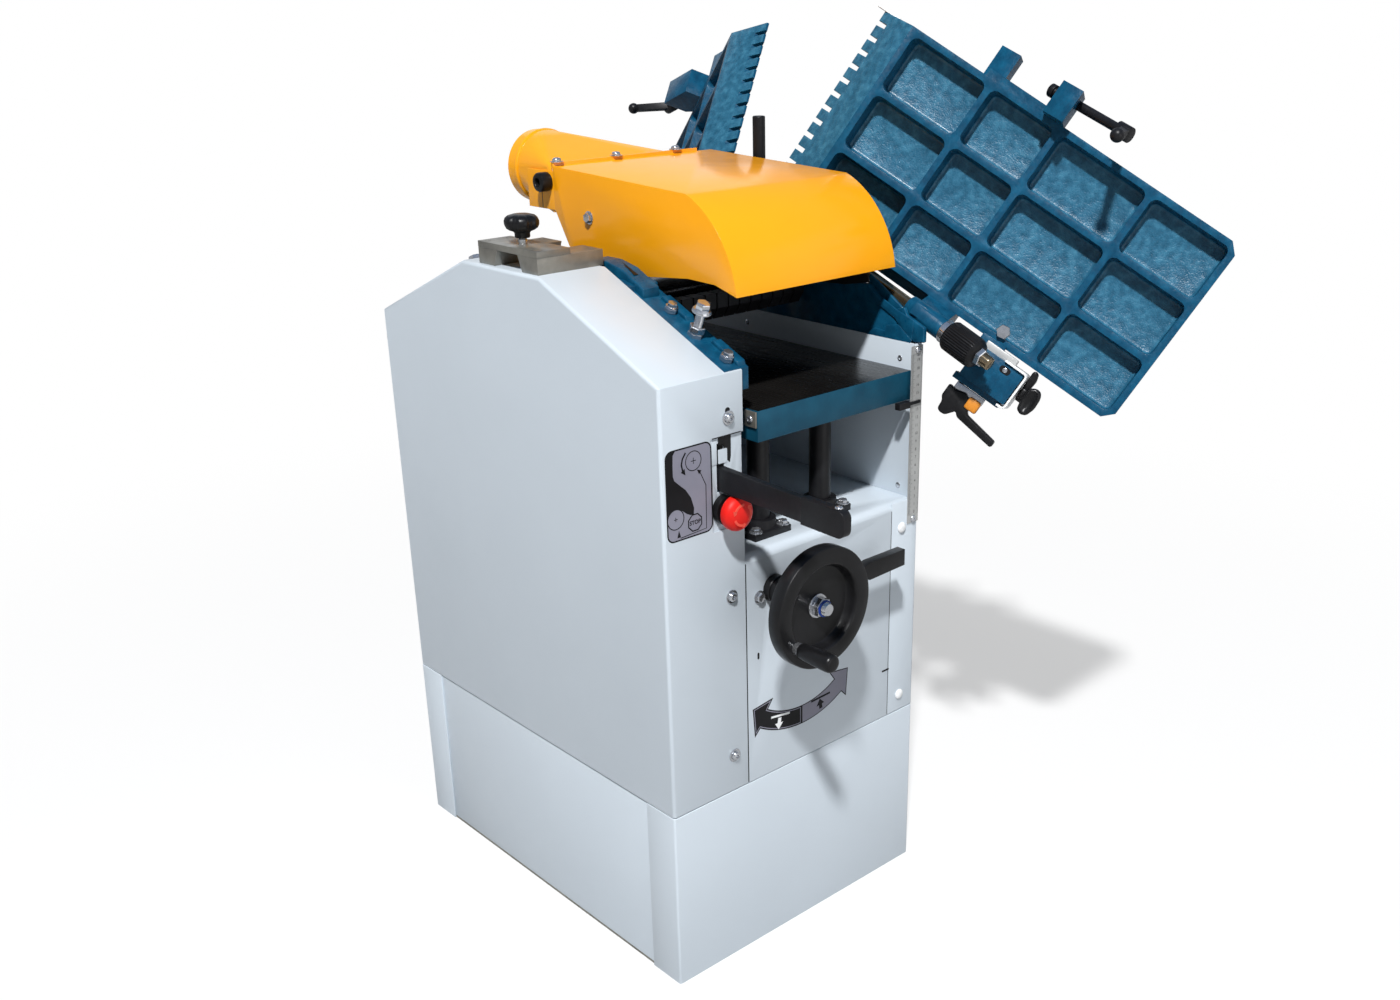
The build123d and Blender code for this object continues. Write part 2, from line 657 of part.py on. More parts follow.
arm_points = [(wheel_x, wheel_height - 9), (lock_tip - 70, wheel_height - 9),
              (lock_tip - 60, wheel_height - 13),
              (lock_tip, wheel_height - 11), (lock_tip, wheel_height + 9),
              (lock_tip - 60, wheel_height + 9),
              (lock_tip - 70, wheel_height + 6), (wheel_x, wheel_height + 9)]
lock_lever += prism_y(arm_points, lock_front + 3, lock_front + 15)
lock_lever -= rod_y(wheel_x, lock_front, lock_back, wheel_height, wheel_shaft_radius + 0.3)
parts["height_lock_lever"] = lock_lever

# Feed lever on the pin of the casting, stop switch
lever_back = lever_x - lever_thickness / 2
lever_side = lever_x + lever_thickness / 2
lever_tip = front_y - lever_reach
lever_low = lever_height - lever_depth / 2
lever_high = lever_height + lever_depth / 2
feed_lever = block(lever_back, lever_side, lever_tip + 50, pin_y, lever_low, lever_high)
handle = block(lever_back - 1.5, lever_side + 1.5, lever_tip, lever_tip + 60, lever_low - 1.5,
               lever_high + 1.5)
handle = fillet(handle.faces().sort_by(Axis.Y)[0].edges().filter_by(Axis.X), 9)
feed_lever += handle + rod_x(lever_x - 7, lever_x + 7, pin_y, lever_height, 16)
feed_lever -= rod_x(lever_x - 8, lever_x + 8, pin_y, lever_height, pin_radius + running_clearance)
parts["feed_lever"] = feed_lever.rotate(Axis((lever_x, pin_y, lever_height), (1, 0, 0)), lever_dip)
estop_face = front_y + sheet
estop_base = rod_y(estop_x, estop_face - 9, estop_face, estop_height, 17)
estop_base += rod_y(estop_x, estop_face, estop_face + 30, estop_height, estop_barrel)
parts["estop_base"] = estop_base - rod_y(estop_x, estop_face - 9, estop_face + 26, estop_height,
                                         stem_radius + running_clearance)
parts["estop_stem"] = rod_y(estop_x, estop_face - 20, estop_face + 15, estop_height, stem_radius)
head_profile = [(0, 0), (head_radius - 2, 0), (head_radius, 3), (head_radius, 8), (head_radius - 2.5, 13),
                (head_radius - 8.5, 16), (0, 17)]
head = revolve(Plane.XY * make_face(Polyline(*head_profile, close=True)), Axis.Y)
head = Pos(estop_x, estop_face - 15, estop_height) * Rot(180, 0, 0) * head
parts["estop_head"] = head - rod_y(estop_x, estop_face - 20, estop_face, estop_height,
                                   stem_radius + seat_clearance)

# Ruler and its pointer
ruler_right = half_w - 0.5
ruler_left = ruler_right - ruler_width
parts["ruler"] = block(ruler_left, ruler_right, front_y - 1, front_y, bay_floor_height - ruler_tail,
                       right_wall_height - 2)
pointer = block(ruler_left - 21, ruler_left - 2, front_y - 3, -table_front, table_bottom - 8, table_bottom)
pointer += block(ruler_left - 5, half_w - 4, front_y - 3, front_y - 1.5, table_bottom - 5, table_bottom - 1)
parts["ruler_pointer"] = pointer

# Suction hood folded from sheet, with a duct to the round outlet
hood_left_x = hood_left - half_w
hood_right_x = hood_right - half_w
nose_y = cutter_y - hood_front
nose_z = plane_height - 14
fold_y = cutter_y - hood_fold
fold_z = plane_height + hood_fold_rise
tail_y = cutter_y + hood_back
tail_z = plane_height + hood_back_rise
bulge_y = cutter_y - hood_bulge
bulge_z = plane_height + hood_bulge_rise
hood_bow = ThreePointArc((nose_y, nose_z), (bulge_y, bulge_z), (fold_y, fold_z))
hood_rest = Polyline((fold_y, fold_z), (tail_y, tail_z), (tail_y, plane_height + 48),
                     (tail_y - 26, plane_height + 6),
                     (cutter_y - 110, plane_height - 11), (cutter_y - 180, plane_height - 4),
                     (nose_y + 34.5, plane_height - 5), (nose_y, nose_z))
hood_face = make_face([hood_bow, hood_rest])
inner_nose = (nose_y + 1.5 * hood_sheet, nose_z)
inner_fold = (fold_y + hood_sheet / 2, fold_z - 1.25 * hood_sheet)
inner_bow = ThreePointArc(inner_nose, (bulge_y + 0.72 * hood_sheet, bulge_z - 0.7 * hood_sheet), inner_fold)
inner_rest = Polyline(inner_fold, (tail_y + 11, tail_z - hood_sheet), (tail_y + 11, nose_z - 21),
                      (nose_y + 9.5, nose_z - 21), inner_nose)
inner_face = make_face([inner_bow, inner_rest])
hood = extrude(Plane.YZ.offset(hood_left_x) * hood_face, amount=hood_right_x - hood_left_x)
hood -= extrude(Plane.YZ.offset(hood_left_x + hood_sheet) * inner_face,
                amount=hood_right_x - hood_left_x - 2 * hood_sheet)
tab_y = cutter_y + 25
hood += block(hood_left_x - 14, hood_left_x, tab_y, tab_y + 12, seat_height, seat_height + hood_sheet)
hood += block(hood_left_x, hood_left_x + hood_sheet, tab_y, tab_y + 12, seat_height, seat_height + 25)
hood += block(hood_right_x, plate_right_x - 1, cutter_y - 12, cutter_y + 12, plane_height + 1,
              plane_height + 1 + hood_sheet)
mouth_right = hood_right_x - 25
flange_top = tail_z + duct_flange
hood += block(hood_left_x, mouth_right, tail_y - hood_sheet, tail_y, tail_z - 7, flange_top)
parts["hood"] = hood
mouth_y = tail_y + hood_sheet
mouth_low = tail_z - 2 - duct_mouth
collar_back = outlet_rim - collar_length


def duct_form(inset):
    mouth = Plane.XZ.offset(-mouth_y) * Pos((hood_left_x + mouth_right) / 2,
                                            mouth_low + duct_mouth / 2) * Rectangle(
        mouth_right - hood_left_x - 2 * inset, duct_mouth - 2 * inset)
    ring = Plane.XZ.offset(-collar_back) * Pos(outlet_x, outlet_height) * Circle(outlet_radius - inset)
    return loft([mouth.face(), ring.face()]) + rod_y(outlet_x, collar_back, outlet_rim, outlet_height,
                                                     outlet_radius - inset)


duct = duct_form(0) - duct_form(hood_sheet)
lip_plate = block(hood_left_x, mouth_right, tail_y, mouth_y, mouth_low, flange_top)
duct += lip_plate - block(hood_left_x + hood_sheet, mouth_right - hood_sheet, tail_y, mouth_y,
                          mouth_low + hood_sheet, mouth_low + duct_mouth - hood_sheet)
cheek_top = tail_z - 6
duct += block(hood_left_x, hood_left_x + hood_sheet, tail_y, tail_y + cheek_length,
              cheek_top - cheek_height, cheek_top)
parts["hood_duct"] = duct

# Fence bracket on the flat top: two dovetail rails, a clamp plate and its knob
rail_x0 = rail_left - half_w
rail_x1 = rail_x0 + rail_length
rail_top = cover_peak + rail_height
front_rail = prism_x([(fence_y, cover_peak), (fence_y + rail_width - 7, cover_peak),
                      (fence_y + rail_width, rail_top), (fence_y, rail_top)], rail_x0, rail_x1)
fence_centre = fence_y + bracket_depth / 2
back_rail = mirror(front_rail, about=Plane.XZ.offset(-fence_centre))
parts["fence_rails"] = Compound(children=[front_rail, back_rail])
knob_x = rail_x0 + clamp_plate_length / 2
plate_top = rail_top + clamp_plate
top_plate = block(rail_x0, rail_x0 + clamp_plate_length, fence_y, fence_y + bracket_depth, rail_top,
                  plate_top)
parts["fence_plate"] = top_plate - rod_z(knob_x, fence_centre, rail_top, plate_top,
                                         stud_radius + running_clearance)
knob_low = plate_top + 7
knob_top = knob_low + knob_height
knob = rod_z(knob_x, fence_centre, knob_low, knob_top, knob_radius - 5)
for i in range(6):
    lobe = rod_z(knob_x + knob_radius - 6, fence_centre, knob_low + 8, knob_top, 6)
    knob += lobe.rotate(Axis((knob_x, fence_centre, 0), (0, 0, 1)), i * 60)
parts["fence_knob"] = knob + rod_z(knob_x, fence_centre, rail_top - 12, knob_low + 1, stud_radius)

# Planer tables, drawn lowered and then folded up about the inclined hinge line
tip_y = cutter_y - lip_gap
free_y = tip_y - planer_length
planer_left = planer_right - planer_width
rim_bottom = plane_height - planer_rim
bevel_y = cutter_y - lip_back
plank = prism_x([(free_y, rim_bottom), (free_y, plane_height), (tip_y, plane_height),
                 (tip_y, plane_height - lip_thickness), (bevel_y, rim_bottom)], planer_left, planer_right)
pocket_x = (planer_width - 4 * planer_rib) / 3
pocket_run = bevel_y - free_y - 5 * planer_rib
for i in range(3):
    x0 = planer_left + planer_rib + i * (pocket_x + planer_rib)
    y0 = free_y + planer_rib
    for share in pocket_shares:
        y1 = y0 + pocket_run * share
        mouth = Plane.XY.offset(rim_bottom) * Pos(x0 + pocket_x / 2, (y0 + y1) / 2) * RectangleRounded(
            pocket_x, y1 - y0, pocket_corner)
        plank -= extrude(mouth, amount=planer_rim - planer_skin, taper=pocket_draft)
        y0 = y1 + planer_rib
slot_count = int(planer_width / comb_pitch)
slot_start = (planer_left + planer_right - (slot_count - 1) * comb_pitch) / 2
for i in range(slot_count):
    slot_x = slot_start + i * comb_pitch
    plank -= block(slot_x - comb_width / 2, slot_x + comb_width / 2, tip_y - comb_depth, tip_y + 1,
                   rim_bottom, plane_height + 1)
for x0, way in ((planer_left, 1), (planer_right, -1)):
    plank -= prism_z([(x0, free_y), (x0 + way * corner, free_y), (x0, free_y + corner)],
                     rim_bottom - 1, plane_height + 1)
plank -= prism_y([(planer_right + 1, rim_bottom + relief + 3), (planer_right + 1, rim_bottom - 1),
                  (planer_right - relief, rim_bottom - 1),
                  (planer_right - relief, rim_bottom)], tip_y - 85, tip_y + 1)
boss_a = (cutter_y - 314, cutter_y - 262)
boss_b = (cutter_y - 178, cutter_y - 145)


def hinge_boss(span):
    y0, y1 = span
    run0 = (y0 - cutter_y) / slide_cos
    run1 = (y1 - cutter_y) / slide_cos
    shape = incline(rod_y(hinge_x, cutter_y + run0, cutter_y + run1, hinge_height, boss_radius))
    low = shaft_z((y0 + y1) / 2)
    arm_low = max(rim_bottom, shaft_z(y0) - 4)
    arm = prism_y([(planer_right, arm_low), (planer_right, plane_height - 6),
                   (planer_right + 10, plane_height - 6),
                   (hinge_x + 6, low + 9), (hinge_x + 6, low - 9), (hinge_x - 9, low - 9),
                   (hinge_x - 9, low + 3)],
                  y0 + 6, y1 - 6)
    return shape + arm


hinge_bore = incline(rod_y(hinge_x, cutter_y - 420, cutter_y - 100, hinge_height,
                           shaft_radius + running_clearance))
plank += hinge_boss(boss_a) + hinge_boss(boss_b)
plank -= hinge_bore
rest_bolt_x = wall_left_x + 0.5
front_bolts = [inset - rail_end for inset in (106, 62, 16)]
rear_bolts = [inset - rail_end for inset in (76, 52, 8)]


def foot_z(y):
    return rail_height_at(y) + (bolt_stand + 0.5) / slide_cos


def lug(y, outward):
    y0 = y - outward
    y1 = y + lug_width - 20
    return prism_x([(y0, foot_z(y0)), (y0, max(foot_z(y0) + 30, plane_height - 7 - outward)),
                    (y - 8, plane_height - 7),
                    (y1, plane_height - 7), (y1, foot_z(y1))], rest_bolt_x - 10, planer_left)


spindle_x = rest_bolt_x + 2
spindle_z = rim_bottom + 7
rail_turn = degrees(atan2(cover_slope, 1))


def along_rail(shape, y):
    return shape.rotate(Axis((0, y, spindle_z), (1, 0, 0)), rail_turn)


def lug_pair(bolts, outward):
    inner_y, tall_y, outer_y = bolts
    pair = lug(inner_y, outward[0]) + lug(outer_y, outward[1])
    pair += block(planer_left - lug_strip, planer_left, outer_y, inner_y, rim_bottom, rim_bottom + 14)
    bore = rod_y(spindle_x, outer_y - 90, outer_y + 40, spindle_z, spindle_radius + running_clearance)
    return pair - along_rail(bore, outer_y)


parts["front_table"] = fold_up_front(plank + lug_pair(front_bolts, (20, 20)))
parts["rear_table"] = fold_up_rear(to_rear(plank) + swap_ends(lug_pair(rear_bolts, (10, 42))))

# Hinge shafts, the rear one with a set collar, and the front depth knob
shaft_outer = cutter_y - 383
shaft = incline(rod_y(hinge_x, cutter_y + (shaft_outer - cutter_y) / slide_cos,
                      cutter_y + (shaft_seat_in + 5 - cutter_y) / slide_cos, hinge_height, shaft_radius))
trim_run = cutter_y + (boss_a[0] - 24 - cutter_y) / slide_cos
rear_trim = incline(block(hinge_x - 30, hinge_x + 30, cutter_y - 500, trim_run,
                          hinge_height - 30, hinge_height + 30))
knob_run = cutter_y + (boss_a[0] - cutter_y) / slide_cos
set_collar = incline(rod_y(hinge_x, knob_run - 16, knob_run - 0.3, hinge_height, 16))
parts["front_hinge_shaft"] = shaft
parts["rear_hinge_shaft"] = to_rear(shaft - rear_trim + set_collar)
depth_bore = rod_y(hinge_x, knob_run - 100, knob_run, hinge_height, shaft_radius + running_clearance)
ribbed = rod_y(hinge_x, knob_run - 0.3 - depth_knob_length, knob_run - 0.3, hinge_height,
               depth_knob_radius - 3)
ribbed = chamfer(ribbed.edges().filter_by(GeomType.CIRCLE), 3)
for i in range(12):
    rib = block(hinge_x - 3, hinge_x + 3, knob_run - depth_knob_length + 3, knob_run - 14,
                hinge_height + depth_knob_radius - 8, hinge_height + depth_knob_radius)
    ribbed += rib.rotate(Axis((hinge_x, 0, hinge_height), (0, 1, 0)), i * 30)
parts["front_depth_knob"] = incline(ribbed - depth_bore)

# Table clamps: a spindle through the outer lug with a cranked lever and ball


def clamp_lever(bolts, arm_length, arm_turn):
    nut_y = bolts[2] + lug_width / 2
    end_y = bolts[2] - clamp_reach
    ball_y = end_y - ball_radius - arm_length * tan(radians(clamp_crank))
    ball_z = spindle_z - arm_length
    lever = rod_y(spindle_x, end_y, nut_y + 7, spindle_z, spindle_radius)
    lever += rod_y(spindle_x, nut_y, nut_y + 7, spindle_z, 8)
    arm = rod_y(spindle_x, end_y - 12, end_y + 6, spindle_z, 9)
    arm += prism_x([(end_y - 9, spindle_z), (ball_y - 4, ball_z), (ball_y + 4, ball_z),
                    (end_y + 3, spindle_z)],
                   spindle_x - 5, spindle_x + 5)
    arm += Pos(spindle_x, ball_y, ball_z) * Sphere(ball_radius)
    lever += arm.rotate(Axis((spindle_x, 0, spindle_z), (0, 1, 0)), arm_turn)
    return along_rail(lever, bolts[2])


parts["front_clamp_lever"] = fold_up_front(clamp_lever(front_bolts, 52, -16))
parts["rear_clamp_lever"] = fold_up_rear(swap_ends(clamp_lever(rear_bolts, 54, -28)))

# Cutter guard bracket at the hinge side of the front table
guard_x = planer_right + 11
guard_front = free_y + 110
guard_z = rim_bottom
strap_x = guard_x + guard_width
stud_x = guard_x + guard_width / 2
ratchet_y = guard_front + 58
guard = block(planer_right - 24, guard_x, ratchet_y - 20, ratchet_y + 12, guard_z - 10, guard_z)
guard += block(guard_x, strap_x, guard_front, guard_front + guard_reach, guard_z - guard_block / 2,
               guard_z + guard_block / 2)
guard += block(strap_x, strap_x + guard_strap, guard_front + 5, ratchet_y + 12, guard_z - 13, guard_z + 13)
guard -= rod_y(stud_x, guard_front - 5, guard_front + 25, guard_z, guard_pin + running_clearance)
guard -= rod_x(strap_x - 2, strap_x + guard_strap + 2, ratchet_y, guard_z, guard_pin + running_clearance)
parts["guard_bracket"] = fold_up_front(guard)
wing_front = guard_front - 21
wing = rod_y(stud_x, wing_front, wing_front + 19, guard_z, guard_pin + 4)
wing += rod_y(stud_x, wing_front, guard_front + 23, guard_z, guard_pin)
wing_half = [(-22, -3), (-22, 3), (-16, 9), (0, 6), (16, 9), (22, 3), (22, -3), (16, -9), (0, -6),
             (-16, -9)]
wing += prism_y([(stud_x + x, guard_z + z) for x, z in wing_half], wing_front, wing_front + 7)
parts["guard_wing_knob"] = fold_up_front(wing)
ratchet_x = strap_x + guard_strap + 0.3
ratchet = rod_x(strap_x, ratchet_x + 4, ratchet_y, guard_z, guard_pin)
ratchet += rod_x(ratchet_x, ratchet_x + 30, ratchet_y, guard_z, guard_pin + 6)
ratchet += prism_z([(ratchet_x + 18, ratchet_y), (ratchet_x + 30, ratchet_y),
                    (ratchet_x + 42, ratchet_y - 74),
                    (ratchet_x + 34, ratchet_y - 76)], guard_z - 6, guard_z + 6)
parts["guard_ratchet_lever"] = fold_up_front(ratchet)

# Rest bolts standing square on the sloped rails, and the two tall lift stops
bolts = []


def square_to_rail(shape, y):
    return Pos(rest_bolt_x, y, rail_height_at(y)) * shape.rotate(Axis.X, rail_turn)


small_bolt = hex_z(0, 0, 0, 6, 8) + hex_z(0, 0, 6, bolt_stand - 0.5, 6.5)
tall_bolt = hex_z(0, 0, 0, 9, 11) + rod_z(0, 0, 9, 30, 6) + rod_z(0, 0, 30, 34, 12) + hex_z(0, 0, 34, 42, 9)
for y, shape in zip(front_bolts, (small_bolt, tall_bolt, small_bolt)):
    bolts.append(square_to_rail(shape, y))
for y, shape in zip(rear_bolts, (small_bolt, tall_bolt, small_bolt)):
    bolts.append(swap_ends(square_to_rail(shape, y)))
parts["table_rest_bolts"] = Compound(children=bolts)

os.makedirs("parts", exist_ok=True)
for name, shape in parts.items():
    export_step(shape, f"parts/{name}.step")
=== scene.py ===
import json
import math
import bpy
from mathutils import Matrix, Quaternion, Vector


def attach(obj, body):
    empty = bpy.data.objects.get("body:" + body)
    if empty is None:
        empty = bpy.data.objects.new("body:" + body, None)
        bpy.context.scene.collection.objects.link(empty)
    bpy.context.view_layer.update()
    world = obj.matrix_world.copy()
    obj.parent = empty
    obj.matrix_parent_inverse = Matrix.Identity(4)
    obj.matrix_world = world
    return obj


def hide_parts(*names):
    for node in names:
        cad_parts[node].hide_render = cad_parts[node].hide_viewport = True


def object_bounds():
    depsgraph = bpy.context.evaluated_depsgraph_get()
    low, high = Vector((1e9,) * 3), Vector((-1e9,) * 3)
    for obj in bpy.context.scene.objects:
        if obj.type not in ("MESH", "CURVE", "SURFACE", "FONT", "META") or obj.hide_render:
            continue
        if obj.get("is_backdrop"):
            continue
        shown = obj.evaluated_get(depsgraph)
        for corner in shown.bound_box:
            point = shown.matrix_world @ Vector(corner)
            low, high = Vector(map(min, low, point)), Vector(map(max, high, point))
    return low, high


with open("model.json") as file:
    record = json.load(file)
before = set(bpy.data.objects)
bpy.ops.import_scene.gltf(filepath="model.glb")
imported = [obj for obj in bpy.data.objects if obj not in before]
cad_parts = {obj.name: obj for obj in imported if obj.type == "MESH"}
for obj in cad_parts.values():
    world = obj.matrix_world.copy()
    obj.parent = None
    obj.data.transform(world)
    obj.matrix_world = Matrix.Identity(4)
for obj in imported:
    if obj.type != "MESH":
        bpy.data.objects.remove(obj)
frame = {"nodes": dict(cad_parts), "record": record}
cadLow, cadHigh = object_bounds()
bpy.ops.object.select_all(action="DESELECT")
nodes = frame["nodes"]
slotOf = {row["node"]: row["material_slot"] for row in frame["record"]["subparts"]}
bodyOf = {node: body for body, held in frame["record"]["behaviour"]["bodies"].items() for node in held}
mm = 0.001
toFront = (0, -1, 0)
toLeft = (-1, 0, 0)
downward = (0, 0, -1)
print("frame loaded with", len(nodes), "nodes")


# colours are written as they look on screen, 0 to 255
def colour(red, green, blue):
    shares = [value / 255 for value in (red, green, blue)]
    return [s / 12.92 if s < 0.04045 else ((s + 0.055) / 1.055) ** 2.4 for s in shares] + [1.0]


# an input is given as a value or as the socket that feeds it
def setInputs(tree, node, inputs):
    for name, value in inputs.items():
        if isinstance(value, bpy.types.NodeSocket):
            tree.links.new(value, node.inputs[name])
        else:
            node.inputs[name].default_value = value


def addNode(tree, kind, inputs=None, **settings):
    node = tree.nodes.new("ShaderNode" + kind)
    for name, value in settings.items():
        setattr(node, name, value)
    setInputs(tree, node, inputs or {})
    return node


def startFinish(name):
    material = bpy.data.materials.new(name)
    material.use_nodes = True
    tree = material.node_tree
    return material, tree, tree.nodes["Principled BSDF"], addNode(tree, "TexCoord").outputs["Object"]


def cloud(tree, place, scale, detail=2.0, stretch=(1, 1, 1)):
    mapping = addNode(tree, "Mapping", {"Vector": place, "Scale": stretch})
    noise = addNode(tree, "TexNoise", {"Vector": mapping.outputs["Vector"], "Scale": scale,
                                       "Detail": detail})
    return noise.outputs["Fac"]


def ramp(tree, factor, stops):
    node = addNode(tree, "ValToRGB", {"Fac": factor})
    band = node.color_ramp
    while len(band.elements) < len(stops):
        band.elements.new(0.5)
    for element, (spot, tone) in zip(band.elements, stops):
        element.position = spot
        element.color = tone
    return node.outputs["Color"]


def twoTone(tree, factor, deep, pale):
    return ramp(tree, factor, [(0.3, colour(*deep)), (0.7, colour(*pale))])


def spread(tree, factor, low, high):
    ends = {"From Min": 0.3, "From Max": 0.7, "To Min": low, "To Max": high}
    return addNode(tree, "MapRange", {"Value": factor, **ends}).outputs["Result"]


# heights: what rises, how strongly, and how far in metres
def relief(tree, shader, heights):
    below = {}
    for factor, strength, depth in heights:
        bump = addNode(tree, "Bump", {"Height": factor, "Strength": strength, "Distance": depth, **below})
        below = {"Normal": bump.outputs["Normal"]}
    setInputs(tree, shader, below)


# sprayed sheet metal: a smooth coat with a little orange peel and faint cloudy tone
def powderCoat(name, deep, pale, cloudScale, rough, peel):
    material, tree, shader, place = startFinish(name)
    tone = twoTone(tree, cloud(tree, place, cloudScale, 4), deep, pale)
    gloss = spread(tree, cloud(tree, place, scale=38, detail=3), *rough)
    setInputs(tree, shader, {"Base Color": tone, "Roughness": gloss})
    relief(tree, shader, [(cloud(tree, place, scale=620, detail=1), peel, 0.00025),
                          (cloud(tree, place, scale=9, detail=1), 0.05, 0.002)])
    return material


# enamel brushed over sand-cast iron: lumpy skin, glossy, darker in the hollows
def castEnamel(name, deep, middle, pale, shine, coat, lumpScale, pitScale, rough, lumpDepth, pitDepth):
    material, tree, shader, place = startFinish(name)
    lumps = cloud(tree, place, lumpScale, 5)
    pits = cloud(tree, place, pitScale, 2)
    tone = ramp(tree, lumps, [(0.28, colour(*deep)), (0.5, colour(*middle)), (0.74, colour(*pale))])
    setInputs(tree, shader, {"Base Color": tone, "Roughness": spread(tree, pits, *rough),
                             "Specular IOR Level": shine, "Coat Weight": coat, "Coat Roughness": 0.12})
    relief(tree, shader, [(lumps, lumpDepth, 0.0022), (pits, pitDepth, 0.0009)])
    return material


# bare metal with its cutting or rolling marks along one direction
def bareMetal(name, deep, pale, stainScale, metal, markScale, stretch, rough, markDepth):
    material, tree, shader, place = startFinish(name)
    marks = cloud(tree, place, markScale, 3, stretch)
    tone = twoTone(tree, cloud(tree, place, stainScale, 4), deep, pale)
    setInputs(tree, shader, {"Base Color": tone, "Roughness": spread(tree, marks, *rough),
                             "Metallic": metal})
    relief(tree, shader, [(marks, markDepth, 0.0001)])
    return material


# moulded plastic, rubber, lacquer and print: a fine grain under an even colour
def moulded(name, deep, pale, rough, grain, grainScale, shine):
    material, tree, shader, place = startFinish(name)
    tone = twoTone(tree, cloud(tree, place, scale=30, detail=3), deep, pale)
    gloss = spread(tree, cloud(tree, place, scale=160, detail=2), *rough)
    setInputs(tree, shader, {"Base Color": tone, "Roughness": gloss, "Specular IOR Level": shine})
    relief(tree, shader, [(cloud(tree, place, grainScale, 2), grain, 0.0002)])
    return material


# the columns of each group are the arguments of the function beside it
lookSet = [
    (powderCoat, {
        "cabinetPowderCoat": ((200, 210, 219), (206, 216, 225), 3.0, (0.30, 0.38), 0.10),
        "hoodPowderCoat": ((249, 164, 14), (252, 171, 20), 5.0, (0.18, 0.25), 0.03),
        "whiteSheetCoat": ((232, 234, 236), (240, 242, 243), 12.0, (0.3, 0.4), 0.08)}),
    (castEnamel, {
        "tealCastEnamel": ((8, 60, 88), (12, 72, 102), (18, 86, 118), 0.2, 0.05,
                           75.0, 260.0, (0.26, 0.42), 0.22, 0.26),
        "tealSmoothEnamel": ((14, 64, 86), (17, 72, 95), (22, 80, 104), 0.25, 0.0,
                             40.0, 420.0, (0.36, 0.48), 0.08, 0.1),
        "tealPocketEnamel": ((27, 79, 105), (40, 96, 124), (60, 119, 147), 0.28, 0.05,
                             110.0, 560.0, (0.24, 0.42), 0.4, 0.5)}),
    (bareMetal, {
        "groundTableSteel": ((44, 42, 41), (58, 56, 54), 14.0, 0.8, 420.0, (1, 0.04, 1), (0.22, 0.32),
                             0.05),
        "turnedSteel": ((190, 192, 196), (212, 214, 218), 60.0, 0.9, 900.0, (1, 1, 0.2), (0.14, 0.24),
                        0.02),
        "zincPlate": ((118, 116, 110), (144, 142, 134), 45.0, 0.5, 240.0, (0.1, 1, 1), (0.28, 0.44), 0.14),
        # the shaft steel's warm brownish-gold is partly a painted reflection of the orange hood
        "shaftSteel": ((136, 120, 96), (164, 148, 122), 24.0, 0.9, 500.0, (1, 0.1, 1), (0.12, 0.18), 0.03),
        "motorCasting": ((120, 126, 132), (140, 146, 152), 20.0, 0.6, 260.0, (1, 1, 1), (0.4, 0.55), 0.4),
        "rulerSteel": ((172, 173, 172), (186, 187, 186), 30.0, 0.3, 500.0, (1, 1, 0.05), (0.34, 0.46),
                       0.06)}),
    (moulded, {
        "blackLacquer": ((19, 19, 21), (27, 27, 30), (0.32, 0.46), 0.12, 520.0, 0.26),
        "blackMoulding": ((17, 17, 18), (24, 24, 26), (0.28, 0.40), 0.10, 900.0, 0.26),
        "beltRubber": ((22, 22, 22), (32, 32, 31), (0.6, 0.75), 0.3, 700.0, 0.2),
        "redMoulding": ((216, 24, 16), (226, 31, 22), (0.40, 0.50), 0.04, 800.0, 0.3),
        "redRaisedMarks": ((232, 78, 62), (238, 88, 72), (0.3, 0.4), 0.04, 800.0, 0.3),
        "blueNylonRing": ((24, 60, 150), (34, 74, 168), (0.35, 0.45), 0.05, 800.0, 0.4),
        "amberPlastic": ((204, 128, 38), (216, 140, 48), (0.35, 0.5), 0.1, 500.0, 0.4),
        "blackPrint": ((24, 24, 26), (31, 31, 33), (0.36, 0.46), 0.03, 600.0, 0.12),
        "greyPrint": ((132, 132, 146), (142, 142, 156), (0.34, 0.44), 0.03, 600.0, 0.25)}),
]
finishes = {name: make(name, *look) for make, looks in lookSet for name, look in looks.items()}
slotFinish = {
    "cabinet_paint": "cabinetPowderCoat", "zinc_sheet": "zincPlate", "teal_casting": "tealCastEnamel",
    "bright_steel": "turnedSteel", "black_steel": "blackLacquer", "black_plastic": "blackMoulding",
    "hood_paint": "hoodPowderCoat", "stop_red": "redMoulding", "motor_shell": "motorCasting",
    "drive_rubber": "beltRubber"}
for node, piece in nodes.items():
    piece.data.materials.clear()
    piece.data.materials.append(finishes[slotFinish[slotOf[node]]])
# the infeed roller takes the dark ground steel as painted shade under the hood; the ruler takes its own
# steel
for node, finish in (("infeed_roller", "groundTableSteel"), ("ruler", "rulerSteel")):
    nodes[node].data.materials[0] = finishes[finish]
print("finishes made:", len(bpy.data.materials))


def makeActive(piece):
    bpy.ops.object.select_all(action="DESELECT")
    piece.select_set(True)
    bpy.context.view_layer.objects.active = piece


def editWith(piece, kind, rule):
    makeActive(piece)
    for group in (piece.data.vertices, piece.data.edges, piece.data.polygons):
        group.foreach_set("select", [False] * len(group))
    bpy.context.tool_settings.mesh_select_mode = (kind == "VERT", kind == "EDGE", kind == "FACE")
    if kind == "FACE":
        for face in piece.data.polygons:
            face.select = rule(face.center / mm, face.normal)
    elif kind == "VERT":
        for spot in piece.data.vertices:
            spot.select = rule(spot.co / mm)
    else:
        spots = piece.data.vertices
        for edge in piece.data.edges:
            a, b = (spots[i].co / mm for i in edge.vertices)
            edge.select = rule(a, b)
    bpy.ops.object.mode_set(mode="EDIT")


def anyPart(*place):
    return True


def leaveEdit():
    bpy.ops.object.mode_set(mode="OBJECT")


